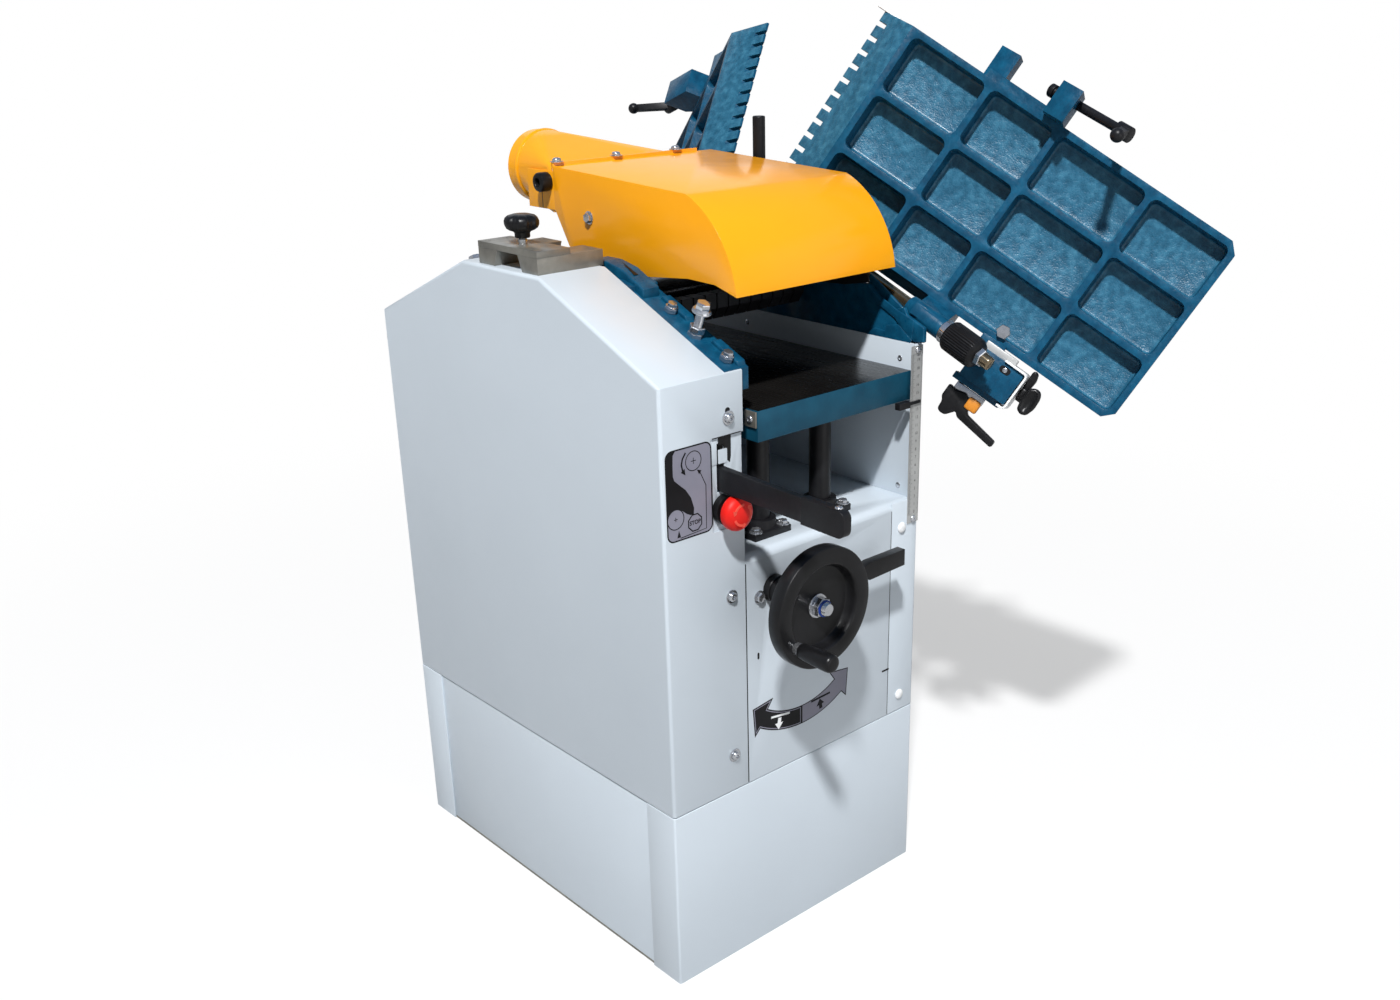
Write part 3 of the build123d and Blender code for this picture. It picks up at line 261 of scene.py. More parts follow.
# a piece rides on its body, and with no finish named it takes that of its slot
def finishPiece(piece, body, slot, finish=None, smooth=35):
    makeActive(piece)
    if not piece.data.materials:
        piece.data.materials.append(finishes[finish or slotFinish[slot]])
    bpy.ops.object.shade_smooth_by_angle(angle=math.radians(smooth))
    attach(piece, body)
    return piece


# a piece that stands for a CAD node takes the node's body and slot
def standsFor(node, piece, smooth=35):
    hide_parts(node)
    return finishPiece(piece, bodyOf[node], slotOf[node], smooth=smooth)


def paintFaces(piece, finish, rule):
    piece.data.materials.append(finishes[finish])
    editWith(piece, "FACE", rule)
    piece.active_material_index = len(piece.data.materials) - 1
    bpy.ops.object.material_slot_assign()
    leaveEdit()


def applyBevel(piece, width, segments=2, limit=40):
    makeActive(piece)
    bevel = piece.modifiers.new("edges", "BEVEL")
    bevel.width = width * mm
    bevel.segments = segments
    bevel.limit_method = "ANGLE"
    bevel.angle_limit = math.radians(limit)
    bpy.ops.object.modifier_apply(modifier="edges")


def copyNode(node):
    words = node.split("_")
    piece = again(nodes[node], words[0] + "".join(word.capitalize() for word in words[1:]))
    makeActive(piece)
    bpy.ops.mesh.customdata_custom_splitnormals_clear()
    editWith(piece, "FACE", anyPart)
    bpy.ops.mesh.remove_doubles(threshold=0.02 * mm)
    bpy.ops.mesh.dissolve_limited(angle_limit=math.radians(0.4))
    leaveEdit()
    return piece


def again(piece, name):
    double = bpy.data.objects.new(name, piece.data.copy())
    bpy.context.collection.objects.link(double)
    return double


def bendEdges(piece, rule, radius, segments):
    editWith(piece, "EDGE", rule)
    bpy.ops.mesh.bevel(offset=radius * mm, segments=segments, affect="EDGES", clamp_overlap=True)
    leaveEdit()


# a node whose form is right gets real edge rounding, so that its rims catch the light
def roundedNode(node, edge, bends=(), segments=2):
    piece = copyNode(node)
    for rule, radius, steps in bends:
        bendEdges(piece, rule, radius, steps)
    applyBevel(piece, edge, segments)
    return standsFor(node, piece)


# camera: the photograph's standpoint and lens
cameraSet = {"spot": (-1.0455, -1.3403, 1.0921), "turns": ((-42.406, "Z"), (68.611, "X"), (-0.76, "Z")),
             "lens": 36.18, "sensor": 36.0, "shift": (-0.0390, 0.0297), "far": 200.0}
bpy.ops.object.camera_add(location=cameraSet["spot"])
camera = bpy.context.object
camera.name = "photoCamera"
yaw, tilt, roll = (Matrix.Rotation(math.radians(angle), 3, axis) for angle, axis in cameraSet["turns"])
camera.rotation_euler = (yaw @ tilt @ roll).to_euler()
camera.data.lens = cameraSet["lens"]
camera.data.sensor_width = cameraSet["sensor"]
camera.data.shift_x, camera.data.shift_y = cameraSet["shift"]
camera.data.clip_end = cameraSet["far"]
bpy.context.scene.camera = camera
bpy.context.scene.view_settings.view_transform = "Standard"

# lamps: a high key behind the camera, and broad weak fills from three sides
lampSet = {"key": ((-9.75, -8.91, 18.2), 1.2, 6450.0), "sideFill": ((2.8, -2.2, 1.6), 2.4, 5.0),
           "frontFill": ((0.2, -4.2, 0.8), 2.6, 27.0), "backFill": ((1.6, 2.6, 2.2), 2.0, 8.0)}
aim = Vector((0, 0, 0.6))
for name, (spot, size, power) in lampSet.items():
    bpy.ops.object.light_add(type="AREA", location=spot)
    lamp = bpy.context.object
    lamp.name = name
    lamp.data.size = size
    lamp.data.energy = power
    lamp.rotation_euler = (aim - Vector(spot)).to_track_quat("-Z", "Y").to_euler()

# world: white behind the machine, a brighter sky in what shines, and a weak even light on the rest
worldSet = {"light": (0.86, 0.93, 1.0, 1.0), "strength": 0.11, "skyStrength": 0.42, "white": (1, 1, 1, 1),
            "sky": [(0.45, colour(70, 70, 72)), (0.55, colour(250, 252, 255)),
                    (0.95, colour(128, 168, 218))]}
world = bpy.data.worlds.new("studioWorld")
bpy.context.scene.world = world
world.use_nodes = True
tree = world.node_tree
shown = tree.nodes["Background"]
setInputs(tree, shown, {"Color": worldSet["light"], "Strength": worldSet["strength"]})
skyWay = addNode(tree, "SeparateXYZ", {"Vector": addNode(tree, "TexCoord").outputs["Generated"]})
skyHeight = addNode(tree, "MapRange", {"Value": skyWay.outputs["Z"], "From Min": -1.0})
skyTone = ramp(tree, skyHeight.outputs["Result"], worldSet["sky"])
sky = addNode(tree, "Background", {"Color": skyTone, "Strength": worldSet["skyStrength"]})
white = addNode(tree, "Background", {"Color": worldSet["white"]})
for ray, over in (("Is Glossy Ray", sky), ("Is Camera Ray", white)):
    share = addNode(tree, "LightPath").outputs[ray]
    shown = addNode(tree, "MixShader", {0: share, 1: shown.outputs[0], 2: over.outputs[0]})
setInputs(tree, tree.nodes["World Output"], {"Surface": shown.outputs[0]})

# floor: pale and plain near the machine, fading to the white of the backdrop
floorSet = {"size": 24.0, "tone": colour(236, 236, 236), "bounce": colour(174, 174, 174), "rough": 0.8,
            "fade": {"From Min": 0.75, "From Max": 2.2, "To Min": 0.5}}
bpy.ops.mesh.primitive_plane_add(size=floorSet["size"], location=(0, 0, cadLow.z))
floor = bpy.context.object
floor.name = "studioFloor"
bpy.ops.object.transform_apply()
paleFloor, tree, shader, place = startFinish("paleFloor")
direct = addNode(tree, "LightPath").outputs["Is Camera Ray"]
tone = addNode(tree, "Mix", {0: direct, 6: floorSet["bounce"], 7: floorSet["tone"]}, data_type="RGBA")
setInputs(tree, shader, {"Base Color": tone.outputs[2], "Roughness": floorSet["rough"]})
reach = addNode(tree, "VectorMath", {0: place}, operation="LENGTH").outputs["Value"]
fade = addNode(tree, "MapRange", {"Value": reach, **floorSet["fade"]}, interpolation_type="SMOOTHSTEP")
share = addNode(tree, "Math", {0: fade.outputs["Result"], 1: direct}, operation="MULTIPLY")
white = addNode(tree, "Emission")
mixed = addNode(tree, "MixShader", {0: share.outputs[0], 1: shader.outputs[0], 2: white.outputs[0]})
setInputs(tree, tree.nodes["Material Output"], {"Surface": mixed.outputs[0]})
floor.data.materials.append(paleFloor)
floor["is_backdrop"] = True
print("camera, lamps and floor set")

# sheet metal of the cabinet and plinth
cabinetSet = {"edge": 0.5, "bend": 3.0, "halfWidth": 200.0, "halfDepth": 275.0, "seam": 226.0,
              "shoulder": 2.2, "gap": 1.3, "shortest": 40.0}


def level(height):
    return lambda a, b: abs(a.z - height) < 0.05 and abs(b.z - height) < 0.05


def atCorner(a, b):
    wide = all(abs(abs(v.x) - cabinetSet["halfWidth"]) < 0.1 for v in (a, b))
    deep = all(abs(abs(v.y) - cabinetSet["halfDepth"]) < 0.1 for v in (a, b))
    return wide and deep and abs(a.z - b.z) > cabinetSet["shortest"]


def atShoulder(a, b):
    outerX, outerY = cabinetSet["halfWidth"] - 2.1, cabinetSet["halfDepth"] - 0.1
    return level(cabinetSet["seam"])(a, b) and all(abs(v.x) > outerX or abs(v.y) > outerY for v in (a, b))


cornerBend = [(atCorner, cabinetSet["bend"], 4)]
shoulderBend = [(atShoulder, cabinetSet["shoulder"], 4)]
for node in ("plinth_front_panel", "plinth_back_panel"):
    roundedNode(node, cabinetSet["edge"], cornerBend + shoulderBend)
roundedNode("plinth_side_panels", cabinetSet["edge"], shoulderBend)
for node in ("control_plate", "right_inner_wall"):
    roundedNode(node, cabinetSet["edge"])
for node in ("left_cover", "front_panel", "back_panel", "right_side_panel"):
    piece = roundedNode(node, cabinetSet["edge"], cornerBend if node == "right_side_panel" else [])
    editWith(piece, "VERT", lambda spot: spot.z < cabinetSet["seam"] + 0.6)
    bpy.ops.transform.translate(value=(0, 0, cabinetSet["gap"] * mm))
    leaveEdit()
print("cabinet sheets rounded")


# the primitive just added, named and sized
def newest(name, size=(1, 1, 1)):
    piece = bpy.context.object
    piece.name = name
    piece.scale = size
    bpy.ops.object.transform_apply()
    return piece


# a ring drawn out along +Z through the radius and height pairs of a profile, and closed at both ends
def turned(name, profile, sides=40):
    radius, height = profile[0]
    bpy.ops.mesh.primitive_circle_add(vertices=sides, radius=radius * mm, location=(0, 0, height * mm))
    piece = newest(name)
    editWith(piece, "VERT", anyPart)
    for wider, higher in profile[1:]:
        bpy.ops.mesh.extrude_region_move(TRANSFORM_OT_translate={"value": (0, 0, (higher - height) * mm)})
        share = wider / radius
        bpy.ops.transform.resize(value=(share, share, 1), center_override=(0, 0, higher * mm))
        radius, height = wider, higher
    bpy.ops.mesh.select_all(action="SELECT")
    bpy.ops.mesh.remove_doubles(threshold=0.005 * mm)
    bpy.ops.mesh.fill_holes(sides=0)
    bpy.ops.mesh.normals_make_consistent(inside=False)
    leaveEdit()
    return piece


# flat outlines in the XY plane, with holes, given a thickness towards +Z
def flatShape(name, loops, thickness):
    outline = bpy.data.curves.new(name, "CURVE")
    outline.dimensions = "2D"
    outline.fill_mode = "BOTH"
    outline.extrude = thickness / 2 * mm
    for loop in loops:
        spline = outline.splines.new("POLY")
        spline.points.add(len(loop) - 1)
        for point, (x, y) in zip(spline.points, loop):
            point.co = (x * mm, y * mm, 0, 1)
        spline.use_cyclic_u = True
    piece = bpy.data.objects.new(name, outline)
    bpy.context.collection.objects.link(piece)
    makeActive(piece)
    bpy.ops.object.convert(target="MESH")
    piece = bpy.context.object
    editWith(piece, "FACE", anyPart)
    bpy.ops.mesh.remove_doubles(threshold=0.005 * mm)
    bpy.ops.mesh.dissolve_limited(angle_limit=math.radians(0.5))
    bpy.ops.transform.translate(value=(0, 0, thickness / 2 * mm))
    leaveEdit()
    return piece


def chunk(name, middle, size, rounding=1.2):
    bpy.ops.mesh.primitive_cube_add(size=1, location=[v * mm for v in middle])
    piece = newest(name, [v * mm for v in size])
    applyBevel(piece, rounding, 3)
    return piece


def lettering(name, text, size, bolder=0.0):
    bpy.ops.object.text_add()
    words = bpy.context.object
    words.name = name
    words.data.body = text
    words.data.size = size * mm
    words.data.offset = bolder * mm
    words.data.align_x = "CENTER"
    words.data.align_y = "CENTER"
    bpy.ops.object.convert(target="MESH")
    return bpy.context.object


def stand(piece, spot, axis=(0, 0, 1), turn=0.0):
    makeActive(piece)
    piece.location = Vector(spot) * mm
    piece.rotation_mode = "QUATERNION"
    piece.rotation_quaternion = (Vector(axis).to_track_quat("Z", "Y")
                                 @ Quaternion((0, 0, 1), math.radians(turn)))
    bpy.ops.object.transform_apply()
    return piece


def joined(name, pieces):
    makeActive(pieces[0])
    for piece in pieces[1:]:
        piece.select_set(True)
    bpy.ops.object.join()
    pieces[0].name = name
    return pieces[0]


def arc(x, y, radius, start, end, steps=24):
    angles = [math.radians(start + (end - start) * i / steps) for i in range(steps + 1)]
    return [(x + radius * math.cos(a), y + radius * math.sin(a)) for a in angles]


def roundedBox(x0, x1, y0, y1, radius):
    low, high = y0 + radius, y1 - radius
    near, far = x0 + radius, x1 - radius
    return (arc(far, low, radius, -90, 0, 6) + arc(far, high, radius, 0, 90, 6)
            + arc(near, high, radius, 90, 180, 6) + arc(near, low, radius, 180, 270, 6))


def strokes(points, width):
    left, right = [], []
    for i, (x, y) in enumerate(points):
        x0, y0 = points[max(i - 1, 0)]
        x1, y1 = points[min(i + 1, len(points) - 1)]
        run = math.hypot(x1 - x0, y1 - y0)
        dx, dy = (y0 - y1) / run * width / 2, (x1 - x0) / run * width / 2
        left.append((x + dx, y + dy))
        right.append((x - dx, y - dy))
    return left + right[::-1]


def arrowHead(x, y, angle, length, width):
    c, s = math.cos(math.radians(angle)), math.sin(math.radians(angle))
    half = width / 2
    return [(x + length * c, y + length * s), (x - half * s, y + half * c), (x + half * s, y - half * c)]


# planer tables: cast ribs with soft rims, a ground top and fine edges
# the pockets are shallower than in the CAD, apart from the notched one at the hinge
foldSet = {"pivot": (209.0, 15.0, 847.2), "lean": 22.0, "front": 118.0, "rear": 126.2}
pivot = Vector(foldSet["pivot"]) * mm
lean = math.radians(foldSet["lean"])
tableSet = {"top": 805.0, "rim": 765.0, "deepFloor": 795.0, "floor": 789.0, "draft": 0.05,
            "corner": (104.0, 185.0), "ribRound": 1.8, "floorRound": 4.0, "edge": 0.6}


def foldedBy(angle, side):
    axis = Vector((0, math.cos(lean), side * math.sin(lean)))
    turn = Matrix.Rotation(math.radians(angle), 4, axis)
    return Matrix.Translation(pivot) @ turn @ Matrix.Translation(-pivot)


def topFaces(height):
    return lambda centre, normal: normal.z > 0.99 and centre.z > height - 0.1


def castTable(node, fold):
    piece = copyNode(node)
    piece.data.transform(fold.inverted())
    floors = (tableSet["floor"], tableSet["deepFloor"])
    cornerX, cornerReach = tableSet["corner"]
    wallMiddle = (tableSet["rim"] + tableSet["deepFloor"]) / 2

    def inPocket(centre, normal):
        corner = centre.x > cornerX and abs(centre.y - foldSet["pivot"][1]) < cornerReach
        wall = abs(centre.z - wallMiddle) < 1.5 and abs(normal.z + tableSet["draft"]) < 0.02
        return not corner and (wall or (normal.z < -0.9 and abs(centre.z - tableSet["deepFloor"]) < 0.5))

    editWith(piece, "FACE", inPocket)
    bpy.ops.mesh.bisect(plane_co=(0, 0, tableSet["floor"] * mm), plane_no=(0, 0, 1), use_fill=True,
                        clear_outer=True)
    bpy.ops.mesh.select_all(action="SELECT")
    bpy.ops.mesh.normals_make_consistent(inside=False)
    leaveEdit()
    bendEdges(piece, level(tableSet["rim"]), tableSet["ribRound"], 3)
    for height in floors:
        bendEdges(piece, level(height), tableSet["floorRound"], 3)
    applyBevel(piece, tableSet["edge"], limit=50)
    paintFaces(piece, "groundTableSteel", topFaces(tableSet["top"]))
    paintFaces(piece, "tealPocketEnamel", lambda centre, normal: normal.z < -0.6
               and min(abs(centre.z - height) for height in floors) < 1.5)
    piece.data.transform(fold)
    return standsFor(node, piece)


frontFold = foldedBy(foldSet["front"], 1)
castTable("front_table", frontFold)
castTable("rear_table", foldedBy(foldSet["rear"], -1))
print("planer tables cast")

# thickness table: enamelled flanks under a ground bed
bedSet = {"edge": 0.7, "top": 672.0}
bed = roundedNode("thickness_table", bedSet["edge"])
bed.data.materials[0] = finishes["tealSmoothEnamel"]
paintFaces(bed, "groundTableSteel", topFaces(bedSet["top"]))

# castings, columns, levers and trim whose CAD form is right get their cast or moulded edges
edgeSet = {
    "left_casting": (1.6, 3), "right_casting": (1.6, 3), "guard_bracket": (1.2, 2),
    "column_flanges": (1.4, 2), "lift_columns": (0.5, 2), "feed_lever": (1.2, 3),
    "height_lock_lever": (2.0, 3), "hood": (0.7, 3), "fence_rails": (0.5, 2), "fence_plate": (0.5, 2),
    "table_stop_post": (1.5, 3), "front_hinge_shaft": (1.0, 2), "rear_hinge_shaft": (1.0, 2),
    "front_clamp_lever": (1.2, 2), "rear_clamp_lever": (1.2, 2), "ruler_pointer": (0.4, 2),
    "estop_base": (1.0, 2)}
rounded = {node: roundedNode(node, edge, segments=steps) for node, (edge, steps) in edgeSet.items()}
# the hinge shafts take the steel with the hood's reflection painted in
for node in ("front_hinge_shaft", "rear_hinge_shaft"):
    rounded[node].data.materials[0] = finishes["shaftSteel"]
# the hood's inner faces are painted black, as painted shade under the hood
hoodInnerShadeSet = {"middle": Vector((58.0, -70.0, 835.0)), "back": 70.0}
paintFaces(rounded["hood"], "blackLacquer", lambda centre, normal: centre.y < hoodInnerShadeSet["back"]
           and (centre - hoodInnerShadeSet["middle"]).dot(normal) < 0)
bracketSet = {"end": 180.0, "shorter": 22.0}
bracket = rounded["guard_bracket"]
bracket.data.transform(frontFold.inverted())
editWith(bracket, "VERT", lambda spot: spot.x < bracketSet["end"])
bpy.ops.transform.translate(value=(bracketSet["shorter"] * mm, 0, 0))
leaveEdit()
bracket.data.transform(frontFold)
print("castings, levers and hood rounded")

# handwheel: a dished rim and web turned in one piece, with washer, nut, nylon ring and stud end
wheelSet = {
    "spot": (-45.0, -349.0, 464.0), "gripSpot": (-89.0, -360.3, 431.0), "bushSpot": (-45.0, -275.0, 464.0),
    "rim": [(8.02, -4), (20, -4), (44, -4.6), (46, -4), (47.4, -2.4), (49, 4), (50, 7.6), (51.2, 8.8),
            (52.6, 9.2), (60, 9.2), (67.6, 9), (69.2, 8.4), (70, 7), (70, 0), (70, -7), (69.2, -8.4),
            (67.6, -9), (56.5, -9.2), (30, -9.4), (24, -10), (20.5, -13), (19, -17), (19, -23), (18, -24),
            (8.02, -24), (8.02, -4)],
    "grip": [(3.6, 5), (7.8, 5), (8.5, 6), (9, 10), (9.8, 24), (10.4, 38), (10.6, 46), (10.3, 50),
             (9.2, 52.4), (7.4, 53.6), (4, 54), (0.4, 54)],
    "bush": [(8.1, 0.1), (15.8, 0.1), (16.4, 0.8), (16.4, 9), (15.8, 9.8), (14.4, 10.2), (14.2, 11),
             (14.2, 46), (13.4, 47), (8.1, 47), (8.1, 0.1)],
    "collar": [(3.6, -2.2), (7.2, -2.2), (7.4, -1.8), (7.4, 4.6), (6.8, 5), (3.6, 5), (3.6, -2.2)]}
standsFor("handwheel", stand(turned("handwheelRim", wheelSet["rim"], 96), wheelSet["spot"], toFront), 30)
standsFor("wheel_grip", stand(turned("wheelGrip", wheelSet["grip"]), wheelSet["gripSpot"], toFront))
collar = stand(turned("gripCollar", wheelSet["collar"], 32), wheelSet["gripSpot"], toFront)
finishPiece(collar, "grip", "bright_steel")
standsFor("wheel_bush", stand(turned("wheelBush", wheelSet["bush"], 48), wheelSet["bushSpot"], toFront))
nutSpot = (-45.0, -337.0, 464.0)
nutSet = {
    "Washer": (40, [(8.1, 8.1), (13.5, 8.1), (14, 8.5), (14, 10), (13.5, 10.4), (8.1, 10.4), (8.1, 8.1)]),
    "Nut": (6, [(8.1, 10.5), (10.6, 10.5), (11.6, 11.2), (11.6, 18.6), (10.6, 19.4), (8.1, 19.4),
                (8.1, 10.5)]),
    "Ring": (40, [(8.1, 19.3), (9.6, 19.3), (9.6, 20.4), (9, 21.2), (8.1, 21.2), (8.1, 19.3)]),
    "Stud": (32, [(6, 16), (7.6, 16), (7.6, 21.5), (7.1, 22), (7.6, 22.5), (7.1, 23.2), (7.6, 23.8),
                  (7.1, 24.5), (7.6, 25.1), (6.6, 26.4), (5, 26.6)])}
for name, (sides, profile) in nutSet.items():
    piece = stand(turned("wheel" + name, profile, sides), nutSpot, toFront, 12)
    if name == "Ring":
        finishPiece(piece, "wheel", "black_plastic", "blueNylonRing")
    else:
        finishPiece(piece, "wheel", "bright_steel")
print("handwheel turned")

# stop button: a mushroom head with raised turn arrows
stopSet = {"spot": (-115.0, -288.0, 576.5), "arrows": 3, "arrowThick": 1.9, "arrowLow": 14.1,
           "head": [(0.5, 5), (8.03, 5), (8.03, 0), (16.5, 0), (18.6, 0.8), (19.5, 2.8), (19.5, 7.6),
                    (19, 9.8), (17.6, 12), (15, 14), (11.5, 15.5), (7.5, 16.5), (3.5, 16.9), (0.5, 17)]}
standsFor("estop_head", stand(turned("stopHead", stopSet["head"], 56), stopSet["spot"], toFront))
turnArrow = [strokes(arc(0, 0, 11.2, 20, 92, 10), 2.6), arrowHead(0.0, 11.2, 180, 4.6, 7)]
arrows = []
for i in range(stopSet["arrows"]):
    line, tip = (flatShape("stopArrow", [loop], stopSet["arrowThick"]) for loop in turnArrow)
    mark = joined("stopArrow%d" % i, [line, tip])
    arrows.append(stand(mark, (0, 0, stopSet["arrowLow"]), turn=i * 360 / stopSet["arrows"]))
marks = stand(joined("stopArrows", arrows), stopSet["spot"], toFront)
finishPiece(marks, "stop_head", "stop_red", "redRaisedMarks")
print("stop button shaped")

# fence clamp knob: a fluted grip on a slim neck
knobSet = {"spot": (-171.0, -9.0, 834.0), "flutes": 6, "sides": 72, "fluteLow": 14.5, "fluteReach": 12.0,
           "fluteHalf": 12.0, "fluteShare": 0.9,
           "grip": [(4, 7), (8, 7), (8.6, 8), (8.6, 12), (10, 14), (14.5, 15.6), (18, 18), (19.7, 21.5),
                    (19.9, 25), (18.6, 28.5), (15.5, 31), (10, 32.6), (4, 33)],
           "stud": [(3, -24), (4.9, -24), (4.9, 5), (4.4, 5.6), (4.9, 6.2), (4.4, 6.8), (4.9, 7.4), (3, 8)]}
knob = turned("fenceKnob", knobSet["grip"], knobSet["sides"])


def inFlute(spot):
    pitch = 360 / knobSet["flutes"]
    angle = math.degrees(math.atan2(spot.y, spot.x)) % pitch
    outer = spot.z > knobSet["fluteLow"] and math.hypot(spot.x, spot.y) > knobSet["fluteReach"]
    return outer and abs(angle - pitch / 2) < knobSet["fluteHalf"]


editWith(knob, "VERT", inFlute)
bpy.ops.transform.resize(value=(knobSet["fluteShare"], knobSet["fluteShare"], 1), center_override=(0, 0, 0))
leaveEdit()
standsFor("fence_knob", stand(knob, knobSet["spot"]), 60)
finishPiece(stand(turned("fenceStud", knobSet["stud"], 32), knobSet["spot"]), "bracket_knob",
            "bright_steel")

# depth knob: a ribbed barrel between a chrome ring and a nut on the shaft end
depthSet = {
    "start": -338.96, "ribs": 36, "ribZ": (19.0, 48.0), "ribReach": 17.8, "ribShare": 0.93,
    "barrel": [(8.1, 9), (15, 9), (17.4, 10), (18.4, 12), (18.5, 20), (18.5, 47), (17.6, 51.5),
               (15.4, 54.5), (12, 56), (8.1, 56), (8.1, 9)],
    "ring": [(8.1, 0), (13, 0), (14.2, 1), (14.2, 8), (13, 9), (8.1, 9), (8.1, 0)],
    "nut": [(8.1, 56.2), (10, 56.2), (11, 57), (11, 62.4), (10, 63.2), (8.1, 63.2), (8.1, 56.2)]}
shaftAxis = Vector((0, math.cos(lean), math.sin(lean)))
depthSpot = Vector(foldSet["pivot"]) + shaftAxis * depthSet["start"]
barrel = turned("depthKnob", depthSet["barrel"], depthSet["ribs"] * 3)


def inRib(spot):
    low, high = depthSet["ribZ"]
    place = math.degrees(math.atan2(spot.y, spot.x)) / (360 / (depthSet["ribs"] * 3))
    outer = math.hypot(spot.x, spot.y) > depthSet["ribReach"]
    return outer and low < spot.z < high and round(place) % 3 == 0


editWith(barrel, "VERT", inRib)
bpy.ops.transform.resize(value=(depthSet["ribShare"], depthSet["ribShare"], 1), center_override=(0, 0, 0))
leaveEdit()
standsFor("front_depth_knob", stand(barrel, depthSpot, -shaftAxis), 20)
for name, sides in (("ring", 48), ("nut", 6)):
    piece = stand(turned("depth" + name.capitalize(), depthSet[name], sides), depthSpot, -shaftAxis)
    finishPiece(piece, "depth_knob", "bright_steel")
print("knobs turned")

# rest bolts: hex head over a lock nut, and the tall flanged lift stops with a cut thread
boltSet = {
    "x": -86.0, "slope": 23.18, "front": (-159.0, -203.0, -249.0), "rear": (-189.0, -213.0, -257.0),
    "shoulder": 724.0, "rise": 0.42821, "halfDepth": 275.0, "sink": 6.0, "tallShift": 3.0,
    "nut": [(4, 0), (7.2, 0), (8, 0.7), (8, 5.2), (7.2, 5.9), (4, 5.9)],
    "neck": [(3, 5.5), (4.4, 5.5), (4.4, 6.6), (3, 6.6)],
    "flange": [(4, 6.2), (6.9, 6.2), (6.9, 6.9), (6.3, 7.3), (4, 7.3)],
    "head": [(3, 7.2), (5.4, 7.2), (5.9, 7.6), (5.9, 10.4), (5.2, 11.2), (3, 11.4)],
    "tallNut": [(4.6, -3), (8.4, -3), (9.2, -2.2), (9.2, 4), (8.4, 4.8), (4.6, 4.8)],
    "jamNut": [(4.6, 4.9), (8.2, 4.9), (9, 5.6), (9, 11.6), (8.2, 12.4), (4.6, 12.4)],
    "tallFlange": [(4.6, 29.4), (10.6, 29.4), (11, 30), (10.8, 31.2), (9.2, 33), (4.6, 33.6)],
    "tallHead": [(4, 32.6), (7.8, 32.6), (8.4, 33.4), (8.4, 39.4), (7.4, 40.8), (5.6, 41.4), (4, 41.6)]}
boltSet["thread"] = ([(4, 3.5)] + [(5.2 - 0.4 * (i % 2), 4 + 0.75 * i) for i in range(34)]
                     + [(4.6, 30.2), (4, 30.2)])


def boltOf(name, layers):
    rings = []
    for layer, sides, turn in layers:
        ring = turned(layer, boltSet[layer], sides)
        rings.append(stand(ring, (0, 0, 0), turn=turn) if turn else ring)
    return joined(name, rings)


smallBolt = boltOf("smallRestBolt", [("nut", 6, 0), ("neck", 24, 0), ("flange", 32, 0), ("head", 6, 20)])
tallBolt = boltOf("liftStopBolt", [("tallNut", 6, 0), ("jamNut", 6, 26), ("thread", 32, 0),
                                   ("tallFlange", 40, 0), ("tallHead", 6, 14)])


def railHeight(y):
    return boltSet["shoulder"] + boltSet["rise"] * (boltSet["halfDepth"] + y) - boltSet["sink"]


slope = math.radians(boltSet["slope"])
stops = []
for end, way in (("front", 1), ("rear", -1)):
    for y, pattern in zip(boltSet[end], (smallBolt, tallBolt, smallBolt)):
        x = boltSet["x"] - (boltSet["tallShift"] if pattern is tallBolt else 0)
        stops.append(stand(again(pattern, "railBolt"), (x, way * y, railHeight(y)),
                           (0, -way * math.sin(slope), math.cos(slope))))
for pattern in (smallBolt, tallBolt):
    bpy.data.objects.remove(pattern)
standsFor("table_rest_bolts", joined("restBolts", stops))
print("rest bolts threaded")

# small screws, modelled once and copied to their places
panScrew = joined("panScrew", [
    turned("panWasher", [(2, 0.1), (7.6, 0.1), (8, 0.4), (8, 1.1), (7.6, 1.4), (2, 1.4)], 32),
    turned("panHead", [(2, 1.3), (5.2, 1.3), (5.5, 1.9), (5.3, 3.4), (4.4, 4.6), (3.2, 5.1), (2.2, 5.2),
                       (2.2, 3.4), (1, 3.4)], 28)])
smallScrew = turned("smallScrew", [(1.5, 0.1), (4, 0.1), (4.3, 0.5), (4.1, 1.5), (3.4, 2.3), (2.2, 2.7),
                                   (1.5, 2.7), (1.5, 1.5), (0.6, 1.5)], 24)
hexScrew = joined("hexScrew", [
    turned("hexWasher", [(2, 0.1), (7.4, 0.1), (7.7, 0.4), (7.7, 1.2), (2, 1.3)], 32),
    turned("hexHead", [(2, 1.2), (5.2, 1.2), (5.9, 1.8), (5.9, 4.8), (5.2, 5.5), (3, 5.7), (2, 5.8)], 6)])
countersunk = turned("countersunk", [(1, 0.05), (4.2, 0.05), (4.4, 0.15), (4.2, 0.35), (2.2, 0.35),
                                     (2.0, 0.12), (1, 0.12)], 24)
plug = turned("whitePlug", [(2, 0.1), (6.4, 0.1), (6.8, 0.6), (6.4, 1.8), (5, 2.8), (3, 3.3), (1, 3.5)], 28)
screwSet = [
    (panScrew, "stripScrew", "base", toFront, [(-108, -275, 676), (-108, -275, 472), (-108, -275, 273)]),
    (hexScrew, "bushBolt", "base", toFront, [(-67, -275, 459), (-23, -275, 469)]),
    (smallScrew, "wallScrew", "base", toLeft, [(188.9, -251, 683), (188.9, -253, 524), (188.9, 18, 685)]),
    (smallScrew, "rulerScrew", "base", toFront, [(190, -276, 697.0), (190, -276, 486)]),
    (smallScrew, "leverScrew", "lever", (0, 0, 1), [(-118, -447, 622)]),
    (hexScrew, "hoodSideScrew", "suction_hood", toLeft, [(-65, 10, 849)]),
    (countersunk, "fenceScrew", "base", (0, 0, 1), [(-113, -57, 827), (-113, 39, 827)]),
    (countersunk, "plateScrew", "base", (0, 0, 1),
     [(-186, -58, 834), (-156, -58, 834), (-186, 40, 834), (-156, 40, 834)]),
]
